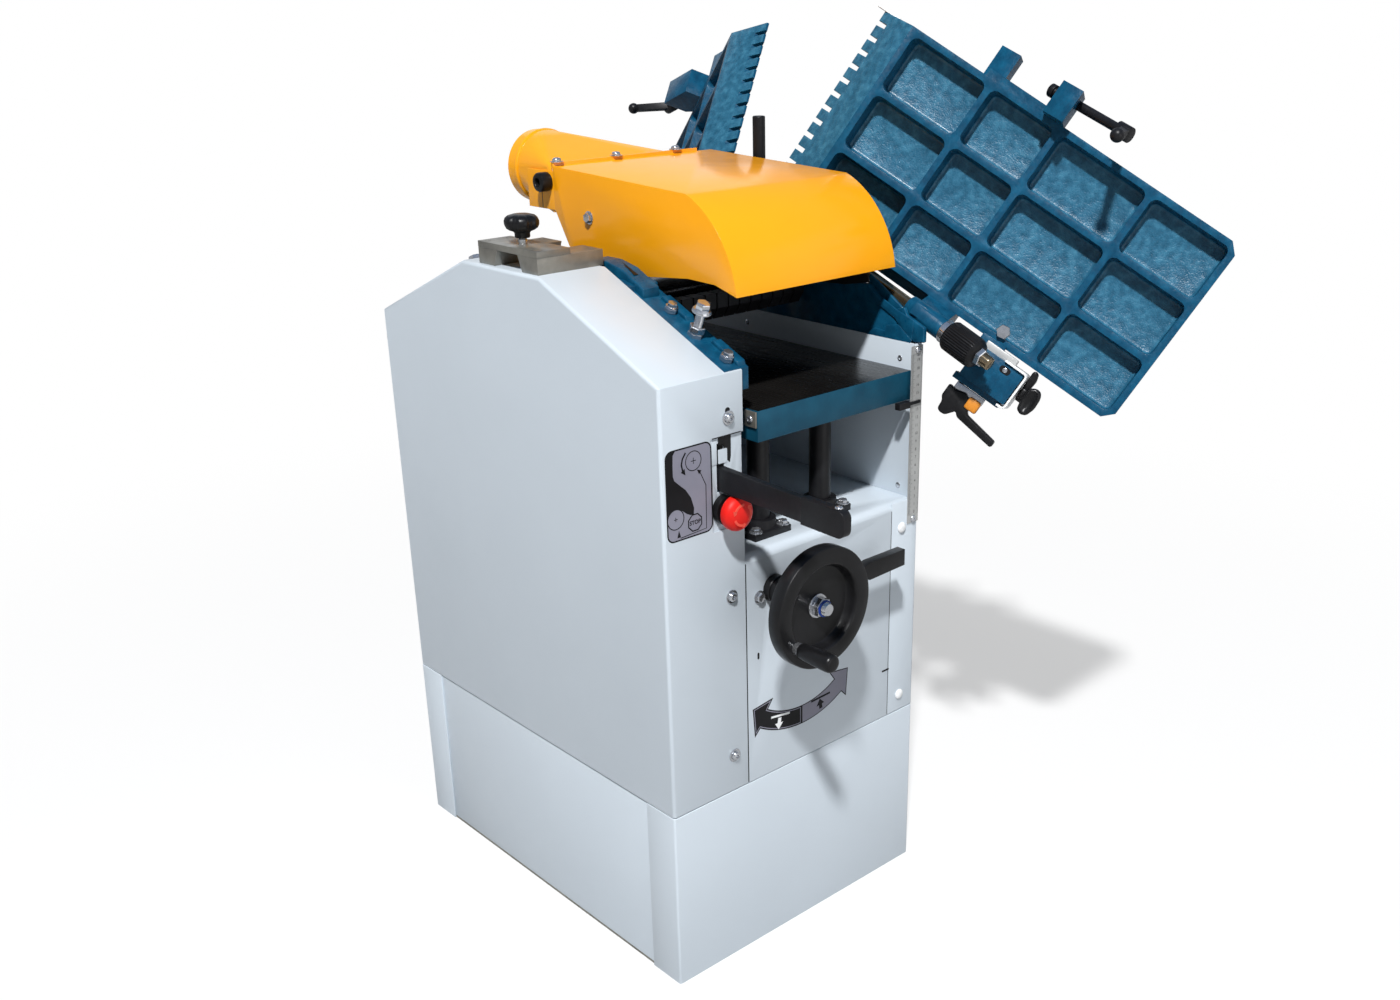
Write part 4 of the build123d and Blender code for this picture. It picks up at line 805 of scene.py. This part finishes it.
plugSpots = [(170.5, -275, 479), (173.7, -275, 250)]
lipSpots = [(-58, 79, 906), (30, 79, 906), (124, 79, 906)]
screwTurn = 17
for pattern, name, body, axis, spots in screwSet:
    for i, spot in enumerate(spots):
        slot = "zinc_sheet" if pattern is countersunk else "bright_steel"
        finishPiece(stand(again(pattern, "%s%d" % (name, i)), spot, axis, screwTurn * i), body, slot)
for i, spot in enumerate(plugSpots):
    finishPiece(stand(again(plug, "whitePlug%d" % i), spot, toFront), "base", "cabinet_paint",
                "whiteSheetCoat")
for i, spot in enumerate(lipSpots):
    finishPiece(stand(again(panScrew, "flangeScrew%d" % i), spot), "suction_hood", "bright_steel")
flangeSet = {"columns": [(-22.0, -227.0), (77.0, -227.0), (-22.0, 227.0), (77.0, 227.0)], "top": 521.0,
             "turn": 21, "holes": [(-21.0, -18.0), (21.0, -18.0), (21.0, 18.0), (-21.0, 18.0)]}
for i, (x, y) in enumerate(flangeSet["columns"]):
    for j, (dx, dy) in enumerate(flangeSet["holes"]):
        bolt = again(hexScrew, "flangeBolt%d%d" % (i, j))
        finishPiece(stand(bolt, (x + dx, y + dy, flangeSet["top"]), turn=flangeSet["turn"] * j), "base",
                    "bright_steel")
for pattern in (panScrew, smallScrew, hexScrew, countersunk, plug):
    bpy.data.objects.remove(pattern)
print("screws placed")

# suction duct: a collar drawn down to the flat mouth with coned corners, its cheek and its bolted lip
hoodSet = {
    "rim": (-14.0, 184.0, 891.0), "radius": 44.0, "collar": 25.0, "sheet": 1.6, "sides": 64,
    "mouth": (-65.0, 133.0, 81.0, 848.0, 900.0), "cheek": ((-64.2, 105.5, 873.5), (1.6, 53, 45)),
    "lip": ((34.0, 80.0, 903.0), (198.0, 2.0, 6.0)), "seam": ((-65.1, 103, 863), (0.3, 1.1, 22)),
    "cap": (-65.2, 90.0, 883.5), "beadSetback": 21.0,
    "bead": [(43.9, 0), (45.2, 0.5), (46, 2), (46, 3.4), (45.2, 5), (43.9, 5.6), (43.9, 0)],
    "capForm": [(4, 0), (10.4, 0), (11.2, 1), (11.4, 12), (10.6, 14), (8.4, 15), (5.6, 15), (5, 14),
                (4.8, 9), (2, 9)]}
rimX, rimY, rimZ = hoodSet["rim"]
left, right, mouthY, low, high = hoodSet["mouth"]
bpy.ops.mesh.primitive_circle_add(vertices=hoodSet["sides"], radius=hoodSet["radius"] * mm,
                                  rotation=(math.pi / 2, 0, 0), location=[v * mm for v in hoodSet["rim"]])
duct = newest("hoodDuct")
editWith(duct, "VERT", anyPart)
for step in (-hoodSet["collar"], mouthY - rimY + hoodSet["collar"]):
    bpy.ops.mesh.extrude_region_move(TRANSFORM_OT_translate={"value": (0, step * mm, 0)})
leaveEdit()
for x, sideways in ((left, -1), (right, 1)):
    for z, upward in ((low, -1), (high, 1)):
        editWith(duct, "VERT", lambda spot: spot.y < mouthY + 0.1 and (spot.x - rimX) * sideways > -0.001
                 and (spot.z - rimZ) * upward > -0.001 and abs(spot.x - rimX) < hoodSet["radius"] + 0.1)
        bpy.ops.transform.resize(value=(0, 1, 0), center_override=(rimX * mm, mouthY * mm, rimZ * mm))
        bpy.ops.transform.translate(value=((x - rimX) * mm, 0, (z - rimZ) * mm))
        leaveEdit()
editWith(duct, "VERT", anyPart)
bpy.ops.mesh.remove_doubles(threshold=0.01 * mm)
bpy.ops.mesh.normals_make_consistent(inside=False)
leaveEdit()
editWith(duct, "FACE", lambda centre, normal: centre.y < rimY - hoodSet["collar"] - 1)
bpy.ops.mesh.subdivide(number_cuts=5)
leaveEdit()
shell = duct.modifiers.new("sheet", "SOLIDIFY")
shell.thickness = hoodSet["sheet"] * mm
shell.offset = -1
makeActive(duct)
bpy.ops.object.modifier_apply(modifier="sheet")
joined("hoodDuct", [duct, chunk("ductCheek", *hoodSet["cheek"], rounding=0.5),
                    chunk("ductLip", *hoodSet["lip"], rounding=0.5)])
standsFor("hood_duct", duct)
bead = stand(turned("outletBead", hoodSet["bead"], 64), (rimX, rimY - hoodSet["beadSetback"], rimZ),
             (0, 1, 0))
finishPiece(bead, "suction_hood", "hood_paint")
finishPiece(chunk("cheekSeam", *hoodSet["seam"], rounding=0.1), "suction_hood", "black_plastic")
cap = stand(turned("hoodCap", hoodSet["capForm"]), hoodSet["cap"], toLeft)
finishPiece(cap, "suction_hood", "black_plastic")

# cutter guard, drawn with the table lowered: a folded white sheet, its nut and the amber block
guardSet = {
    "sheet": [(197, -376), (197, -403), (197.6, -405.2), (199, -406.4), (201, -407), (240, -407),
              (242.2, -406.4), (243.6, -405), (244, -403), (244, -397)],
    "sheetZ": (736.0, 58.0), "sheetBevel": (0.4, 2, 50), "sheetThick": 2.4, "nut": (172, -352, 765),
    "nutForm": [(3, 0), (8.2, 0), (9, 0.5), (9, 5.2), (8.2, 6), (3, 6.2)],
    "slot": (206.5, -382, 739.9), "slotForm": (-7, 7, -4.2, 4.2, 4), "slotThick": 0.3,
    "screwForm": [(1, 0.2), (3, 0.2), (3.2, 0.6), (2.8, 1.6), (1.6, 2), (1, 2)],
    "plate": ((195, -366, 757), (12, 44, 9)), "amber": ((262, -374.5, 752), (15, 16, 12)),
    "strap": ((253, -363, 755), (9, 40, 6)), "stem": (249, -346, 765),
    "stemForm": [(5.1, -8), (5.6, -7.6), (5.6, -0.6), (5.1, -0.2), (5.1, -8)],
    "ratchet": [(256, -337), (258, -346), (254, -360), (259, -367), (274.5, -375.6), (281.5, -421),
                (290.3, -420.8), (284, -367), (279, -362), (290, -353.4), (290.7, -346), (288, -342),
                (277.5, -341), (273, -337)],
    "ratchetZ": (748.0, 16.0), "ratchetBevel": (2.4, 4, 30), "hub": (219, -409, 765),
    "hubForm": [(5.02, 0.2), (8, 0.2), (9.4, 1.4), (9.4, 7), (8.6, 9.6), (6, 11.4), (3, 11.8)],
    "neck": ((217, -414, 757), (14, 9, 18)),
    "earSide": [(216, -409.4), (190, -408.4), (187, -411), (189, -415.5), (197, -418.2), (216, -417.1)],
    "earNear": [(235, -419), (222, -416), (207, -417.5), (202.5, -424), (203.5, -431), (210, -435),
                (224, -436), (235, -432.6), (238, -426)],
    "earSideZ": (757, 15), "earSideBevel": (2.6, 4, 20), "earNearZ": (742, 11),
    "earNearBevel": (3.2, 5, 20), "hollow": (3.0, 2.0)}


def onGuard(piece, slot, finish=None, body="front_planer"):
    piece.data.transform(frontFold)
    return finishPiece(piece, body, slot, finish)


# a level plate from its outline, low side and height, then the width, steps and angle of its bevel
def levelPlate(name, outline, low, height, *bevel):
    piece = stand(flatShape(name, [outline], height), (0, 0, low), turn=180)
    applyBevel(piece, *bevel)
    return piece


sheetOutline = strokes(guardSet["sheet"], guardSet["sheetThick"])
guardSheet = levelPlate("guardSheet", sheetOutline, *guardSet["sheetZ"], *guardSet["sheetBevel"])
onGuard(guardSheet, "cabinet_paint", "whiteSheetCoat")
onGuard(stand(turned("guardNut", guardSet["nutForm"], 6), guardSet["nut"], downward, 10), "bright_steel")
# the guard's slot is printed black, as painted shade of the opening, with its screw in it
guardSlot = flatShape("guardSlot", [roundedBox(*guardSet["slotForm"])], guardSet["slotThick"])
onGuard(stand(guardSlot, guardSet["slot"], downward, 90), "black_plastic")
onGuard(stand(turned("guardSlotScrew", guardSet["screwForm"], 20), guardSet["slot"], downward),
        "bright_steel")
onGuard(chunk("guardPlate", *guardSet["plate"]), "zinc_sheet", "rulerSteel")
onGuard(chunk("guardAmber", *guardSet["amber"], rounding=2.2), "black_plastic", "amberPlastic")
onGuard(chunk("guardStrap", *guardSet["strap"], rounding=0.8), "bright_steel")
stem = stand(turned("guardStem", guardSet["stemForm"], 32), guardSet["stem"], (1, 0, 0))
onGuard(stem, "bright_steel", body="guard_ratchet")
ratchet = levelPlate("guardRatchetLever", guardSet["ratchet"], *guardSet["ratchetZ"],
                     *guardSet["ratchetBevel"])
ratchet.data.transform(frontFold)
standsFor("guard_ratchet_lever", ratchet)
wingHub = stand(turned("wingHub", guardSet["hubForm"], 32), guardSet["hub"], toFront)
earSide = levelPlate("earSide", guardSet["earSide"], *guardSet["earSideZ"], *guardSet["earSideBevel"])
earNear = levelPlate("earNear", guardSet["earNear"], *guardSet["earNearZ"], *guardSet["earNearBevel"])
hollowEdge, hollowDepth = guardSet["hollow"]
editWith(earNear, "FACE", lambda centre, normal: normal.z < -0.99)
bpy.ops.mesh.inset(thickness=hollowEdge * mm, depth=-hollowDepth * mm)
leaveEdit()
wing = joined("guardWingKnob", [wingHub, earSide, earNear, chunk("earNeck", *guardSet["neck"], rounding=3)])
wing.data.transform(frontFold)
standsFor("guard_wing_knob", wing)
print("hood and guard trimmed")

# ruler: printed marks and plain numbers, millimetres on the left and sixteenths on the right
rulerSet = {"left": 180.5, "right": 199.0, "low": 492.0, "face": -276.04, "count": 20, "line": 0.24,
            "numberX": 191.6, "numberRise": 2.6, "numberSize": 5.2}
tickSet = {"fineTicks": (-1, 3.4, 1, 201), "fiveTicks": (-1, 5, 5, 41), "tenTicks": (-1, 6.6, 10, 21),
           "sixteenthTicks": (1, 1.8, 1.5875, 127), "quarterTicks": (1, 2.8, 6.35, 32)}


def tickRow(name, side, length, step, count):
    bpy.ops.mesh.primitive_plane_add(size=1, location=(0, 0, 0))
    tick = newest(name, (length * mm, rulerSet["line"] * mm, 1))
    row = tick.modifiers.new("row", "ARRAY")
    row.use_relative_offset = False
    row.use_constant_offset = True
    row.constant_offset_displace = (0, step * mm, 0)
    row.count = count
    bpy.ops.object.modifier_apply(modifier="row")
    middle = rulerSet["left"] + length / 2 if side < 0 else rulerSet["right"] - length / 2
    return stand(tick, (middle, rulerSet["face"], rulerSet["low"]), toFront)


ticks = joined("rulerTicks", [tickRow(name, *row) for name, row in tickSet.items()])
finishPiece(ticks, "base", "bright_steel", "blackPrint")
numbers = []
for i in range(rulerSet["count"] + 1):
    number = lettering("rulerNumber", str(i), rulerSet["numberSize"])
    height = rulerSet["low"] + 10 * i + rulerSet["numberRise"]
    numbers.append(stand(number, (rulerSet["numberX"], rulerSet["face"], height), toFront))
finishPiece(joined("rulerNumbers", numbers), "base", "bright_steel", "blackPrint")
print("ruler marked")

# printed signs on the front: thin layers, each a little prouder of the paint than the one below
signSet = {"face": -275.0, "x": (-195.0, -132.0), "z": (556.5, 657.0), "round": 9.0, "edge": 1.7,
           "word": (-157.0, 572.0), "wordSize": 6.4, "wordBolder": 0.2}
layerSet = {"edge": 0.10, "opening": 0.12, "ground": 0.16, "sweep": 0.20, "mark": 0.22, "top": 0.24}


def printed(name, loops, layer, finish):
    piece = stand(flatShape(name, loops, layerSet[layer]), (0, signSet["face"], 0), toFront)
    return finishPiece(piece, "base", "cabinet_paint", finish)


def onSign(*points):
    (x0, x1), (z0, z1) = signSet["x"], signSet["z"]
    return [(x0 + (x1 - x0) * u, z0 + (z1 - z0) * v) for u, v in points]


def ring(x, z, radius, sides=48, start=0):
    return arc(x, z, radius, start, start + 360 - 360 / sides, sides - 1)


def ringLoops(x, z, radius, width):
    return [ring(x, z, radius), ring(x, z, radius - width)]


def crossLines(x, z, half):
    return [[strokes([(x - half, z), (x + half, z)], 0.8)], [strokes([(x, z - half), (x, z + half)], 0.8)]]


def signHead(place, angle, length, width):
    return [arrowHead(*onSign(place)[0], angle, length, width)]


def signPanel(edge):
    (x0, x1), (z0, z1) = signSet["x"], signSet["z"]
    return [roundedBox(x0 + edge, x1 - edge, z0 + edge, z1 - edge, signSet["round"] - edge)]


printed("signEdge", signPanel(0), "edge", "blackPrint")
printed("signGround", signPanel(signSet["edge"]), "ground", "greyPrint")
sweep = onSign(
    (0.02, 0.30), (0.02, 0.91), (0.05, 0.96), (0.11, 0.985), (0.22, 0.985), (0.17, 0.946), (0.16, 0.84),
    (0.16, 0.72), (0.19, 0.67), (0.24, 0.64), (0.42, 0.54), (0.53, 0.44), (0.59, 0.318), (0.58, 0.248),
    (0.51, 0.25), (0.43, 0.276), (0.34, 0.32), (0.24, 0.358), (0.10, 0.35))
printed("signSweep", [sweep], "sweep", "blackPrint")
signMarks = [
    ringLoops(-157, 640, 11, 1.0), ringLoops(-183, 581.5, 11.5, 1.1),
    *crossLines(-157, 640, 3.4), *crossLines(-183, 581.5, 2.4),
    [strokes(onSign((0.44, 0.94), (0.37, 0.88), (0.345, 0.82), (0.37, 0.75)), 2.0)],
    signHead((0.37, 0.755), -58, 6.6, 6),
    [strokes(onSign((0.73, 0.70), (0.86, 0.53), (0.85, 0.05), (0.28, 0.03)), 1.0)],
    signHead((0.745, 0.685), 138, 6, 5), signHead((0.25, 0.04), 90, 8, 5),
    [ring(*signSet["word"], radius, sides=8, start=22.5) for radius in (10.5, 9.0)]]
for i, loops in enumerate(signMarks):
    printed("signMark%d" % i, loops, "mark", "blackPrint")
wordX, wordZ = signSet["word"]
stopWord = lettering("stopWord", "STOP", signSet["wordSize"], signSet["wordBolder"])
stand(stopWord, (wordX, signSet["face"] - layerSet["top"], wordZ), toFront)
finishPiece(stopWord, "base", "cabinet_paint", "blackPrint")

# lift sign below the handwheel: a curved double arrow, black for down and grey for up
liftSign = {"middle": (0.0, 404.0), "radii": (106.5, 131.0), "sweep": 31.0, "line": 1.2,
            "innerLine": (1.6, 2.6), "bar": 2.6, "stem": 5.2, "head": (8.4, 13),
            "point": [(76, 283), (79, 320.5), (46.5, 324.6)]}


def inset(points, distance):
    inner = []
    for i, (x, y) in enumerate(points):
        (x0, y0), (x1, y1) = points[i - 1], points[(i + 1) % len(points)]
        before = Vector((x - x0, y - y0)).normalized()
        after = Vector((x1 - x, y1 - y)).normalized()
        corner = Vector((-before.y - after.y, before.x + after.x)).normalized()
        reach = distance / max(corner.dot(Vector((-before.y, before.x))), 0.4)
        inner.append((x + corner.x * reach, y + corner.y * reach))
    return inner


def liftArrow(side, distance):
    (x, z), (r0, r1) = liftSign["middle"], liftSign["radii"]
    end = -90 + liftSign["sweep"]
    outer = arc(x, z, r1, -90, end, 14)
    inner = arc(x, z, r0, end, -90, 14)
    return [(side * a, b) for a, b in inset(outer + liftSign["point"] + inner, distance)]


printed("liftDown", [liftArrow(-1, 0)], "edge", "blackPrint")
printed("liftUp", [liftArrow(1, 0)], "edge", "blackPrint")
printed("liftDownLine", [liftArrow(-1, distance) for distance in liftSign["innerLine"]], "ground",
        "greyPrint")
printed("liftUpGround", [liftArrow(1, liftSign["line"])], "ground", "greyPrint")
for name, bar, stem, tip, way, finish in (
        ("Down", [(-50, 299.4), (-20, 295)], [(-36, 294.4), (-37.6, 286)], (-37.4, 288), -95,
         "whiteSheetCoat"),
        ("Up", [(16, 296.2), (48, 297.4)], [(32.4, 281.6), (31.4, 289)], (31.5, 287), 98, "blackPrint")):
    printed("liftBar" + name, [strokes(bar, liftSign["bar"])], "mark", finish)
    printed("liftStem" + name, [strokes(stem, liftSign["stem"])], "mark", finish)
    printed("liftHead" + name, [arrowHead(*tip, way, *liftSign["head"])], "top", finish)
print("signs printed")

# openings in the sheets: the slots and the small keyhole printed black, as painted shade of the openings,
# and the seams and the cover's lip as dark joints
slotShadeAndSeamSet = {"stripSlot": (-108.6, 680, 3.4, 7.5), "keyhole": (-69, 386, 1.5, 4.2),
           "pointerSlot": (147.6, 292.5, 6.5, 1.3), "coverSeam": (-86.6, 366, 0.7, 138),
           "panelSeam": (152.4, 366, 0.45, 138), "coverLip": (-110.5, 657.4, 20.4, 0.6)}
endRound = 0.95
for name, (x, z, wide, high) in slotShadeAndSeamSet.items():
    outline = roundedBox(x - wide, x + wide, z - high, z + high, min(wide, high) * endRound)
    printed(name, [outline], "opening", "blackMoulding")

# the feed lever's gate: a black back behind the opening and black shapes in its notch, painted shade of the
# opening, with the tab that the lever rests under
gateSet = {
    "back": ((-114, -256, 628), (46, 2, 68)), "mask": ((-128, -273.3, 641), (9.4, 0.6, 27)), "face": -273.0,
    "side": [(-113.6, 657), (-113.6, 641.8), (-108.8, 641.4), (-109.1, 629.8), (-104.9, 626), (-103.4, 633),
             (-103, 657)],
    "top": [(-121, 648), (-113.6, 648), (-113.6, 657), (-121, 657)],
    "tab": roundedBox(-121.4, -109, 627.5, 643, 1.2)}
finishPiece(chunk("gateBack", *gateSet["back"], rounding=0.5), "base", "cabinet_paint", "blackMoulding")
finishPiece(chunk("gateMask", *gateSet["mask"], rounding=0.2), "base", "cabinet_paint")
for name, thickness, body, finish in (("side", 0.3, "base", "blackMoulding"),
                                      ("top", 0.3, "base", "blackMoulding"), ("tab", 0.7, "lever", None)):
    piece = flatShape("gate" + name.capitalize(), [gateSet[name]], thickness)
    finishPiece(stand(piece, (0, gateSet["face"], 0), toFront), body, "cabinet_paint", finish)

# small plates: the table's side guide, the strip on the comb's end, and the ridges cast on the left rail
plateSet = {
    "guide": ((-62.2, -259.5, 662), (2.2, 19, 18)), "strip": ((-57.6, -10, 801.6), (2.4, 34, 6.6)),
    "screw": [(1, 0.1), (4.2, 0.1), (4.4, 0.5), (4, 1.6), (3, 2.4), (2, 2.6), (1.8, 1.6), (1, 1.6)],
    "screwSpot": (-63.3, -260, 662), "ridgeX": (-81.0, -69.0), "ridges": ((-134, -180), (-217, -262)),
    "ridgeHigh": 5.5, "ridgeSink": 1.0, "ridgeRun": (5, 2), "padX": (-101.0, -78.0), "castRound": 1.4,
    "pad": [(-131, 778), (-131, 790), (-94, 807), (-66, 812.5), (-40, 812.5), (-40, 795)],
    "padMark": [(-15, -1), (13, -4.5), (13, 1.5)], "markSpot": (-90, -96, 806.6), "markSlope": 24.0,
    "markThick": 0.3}
finishPiece(chunk("guidePlate", *plateSet["guide"], rounding=0.5), "lift", "zinc_sheet")
guideScrew = stand(turned("guideScrew", plateSet["screw"], 24), plateSet["screwSpot"], toLeft)
finishPiece(guideScrew, "lift", "bright_steel")
onGuard(chunk("combStrip", *plateSet["strip"], rounding=0.5), "cabinet_paint", "whiteSheetCoat")

# beside the front hinge: the casting's cheek, foot, rail and step, a black sheet under the hood as painted
# shade, and the table's web
hingeSet = {
    "hingeCheek": ((197, 201), [(-187, 757), (-190, 774), (-202.7, 767.5), (-244, 741), (-244, 712),
                                (-190, 752)]),
    "hingeFoot": ((189.4, 195), [(-240, 740), (-253.8, 743.6), (-257.3, 735.4), (-285, 724), (-285, 706.5),
                                 (-269.8, 704.9), (-240, 722)]),
    "hingeRail": ((187.4, 189.4), [(-214, 742), (-222, 750), (-243, 740), (-270, 731), (-268, 707),
                                   (-254, 717), (-240, 730)]),
    "hingeStep": ((187.2, 189.4), [(-193.6, 703.3), (-208.7, 713), (-226, 711.7), (-228, 719.3),
                                   (-246.9, 723), (-268.4, 707.4), (-260.4, 698)])}
hoodShadeSheetSet = {"x": (181.3, 182.7),
            "outline": [(-126, 758), (-126, 812), (-176, 812), (-200, 784), (-205, 768), (-164, 760)]}
webSet = {"middle": (191.5, -206, 796.5), "size": (15, 112, 13)}


# an outline drawn in Y and Z, given its reach along X
def onRail(name, reach, outline, body="base", slot="teal_casting"):
    x0, x1 = reach
    piece = flatShape(name, [outline], x1 - x0)
    piece.data.transform(Matrix(((0, 0, 1, x0 * mm), (1, 0, 0, 0), (0, 1, 0, 0), (0, 0, 0, 1))))
    applyBevel(piece, min(plateSet["castRound"], (x1 - x0) / 3), 3)
    return finishPiece(piece, body, slot)


def ridgeSpot(y, rise):
    return (y, railHeight(y) - plateSet["ridgeSink"] + rise)


high = plateSet["ridgeHigh"]
innerRun, outerRun = plateSet["ridgeRun"]
for i, (inner, outer) in enumerate(plateSet["ridges"]):
    outline = [ridgeSpot(inner, 0), ridgeSpot(inner - innerRun, high), ridgeSpot(outer + outerRun, high),
               ridgeSpot(outer, 0)]
    onRail("railRidge%d" % i, plateSet["ridgeX"], outline)
onRail("railPad", plateSet["padX"], plateSet["pad"])
for name, (reach, outline) in hingeSet.items():
    onRail(name, reach, outline)
# a black sheet under the hood's side wall, standing in for the shade there
onRail("hoodSkirt", hoodShadeSheetSet["x"], hoodShadeSheetSet["outline"], "suction_hood", "black_steel")
onGuard(chunk("hingeWeb", webSet["middle"], webSet["size"]), "teal_casting", "tealSmoothEnamel")
markSlope = math.radians(plateSet["markSlope"])
padMark = flatShape("padMark", [plateSet["padMark"]], plateSet["markThick"])
stand(padMark, plateSet["markSpot"], (0, -math.sin(markSlope), math.cos(markSlope)), -90)
finishPiece(padMark, "base", "teal_casting", "blackMoulding")
print("plates and ridges placed")

size = {"cad": [list(cadLow), list(cadHigh)], "visual": [list(corner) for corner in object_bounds()]}
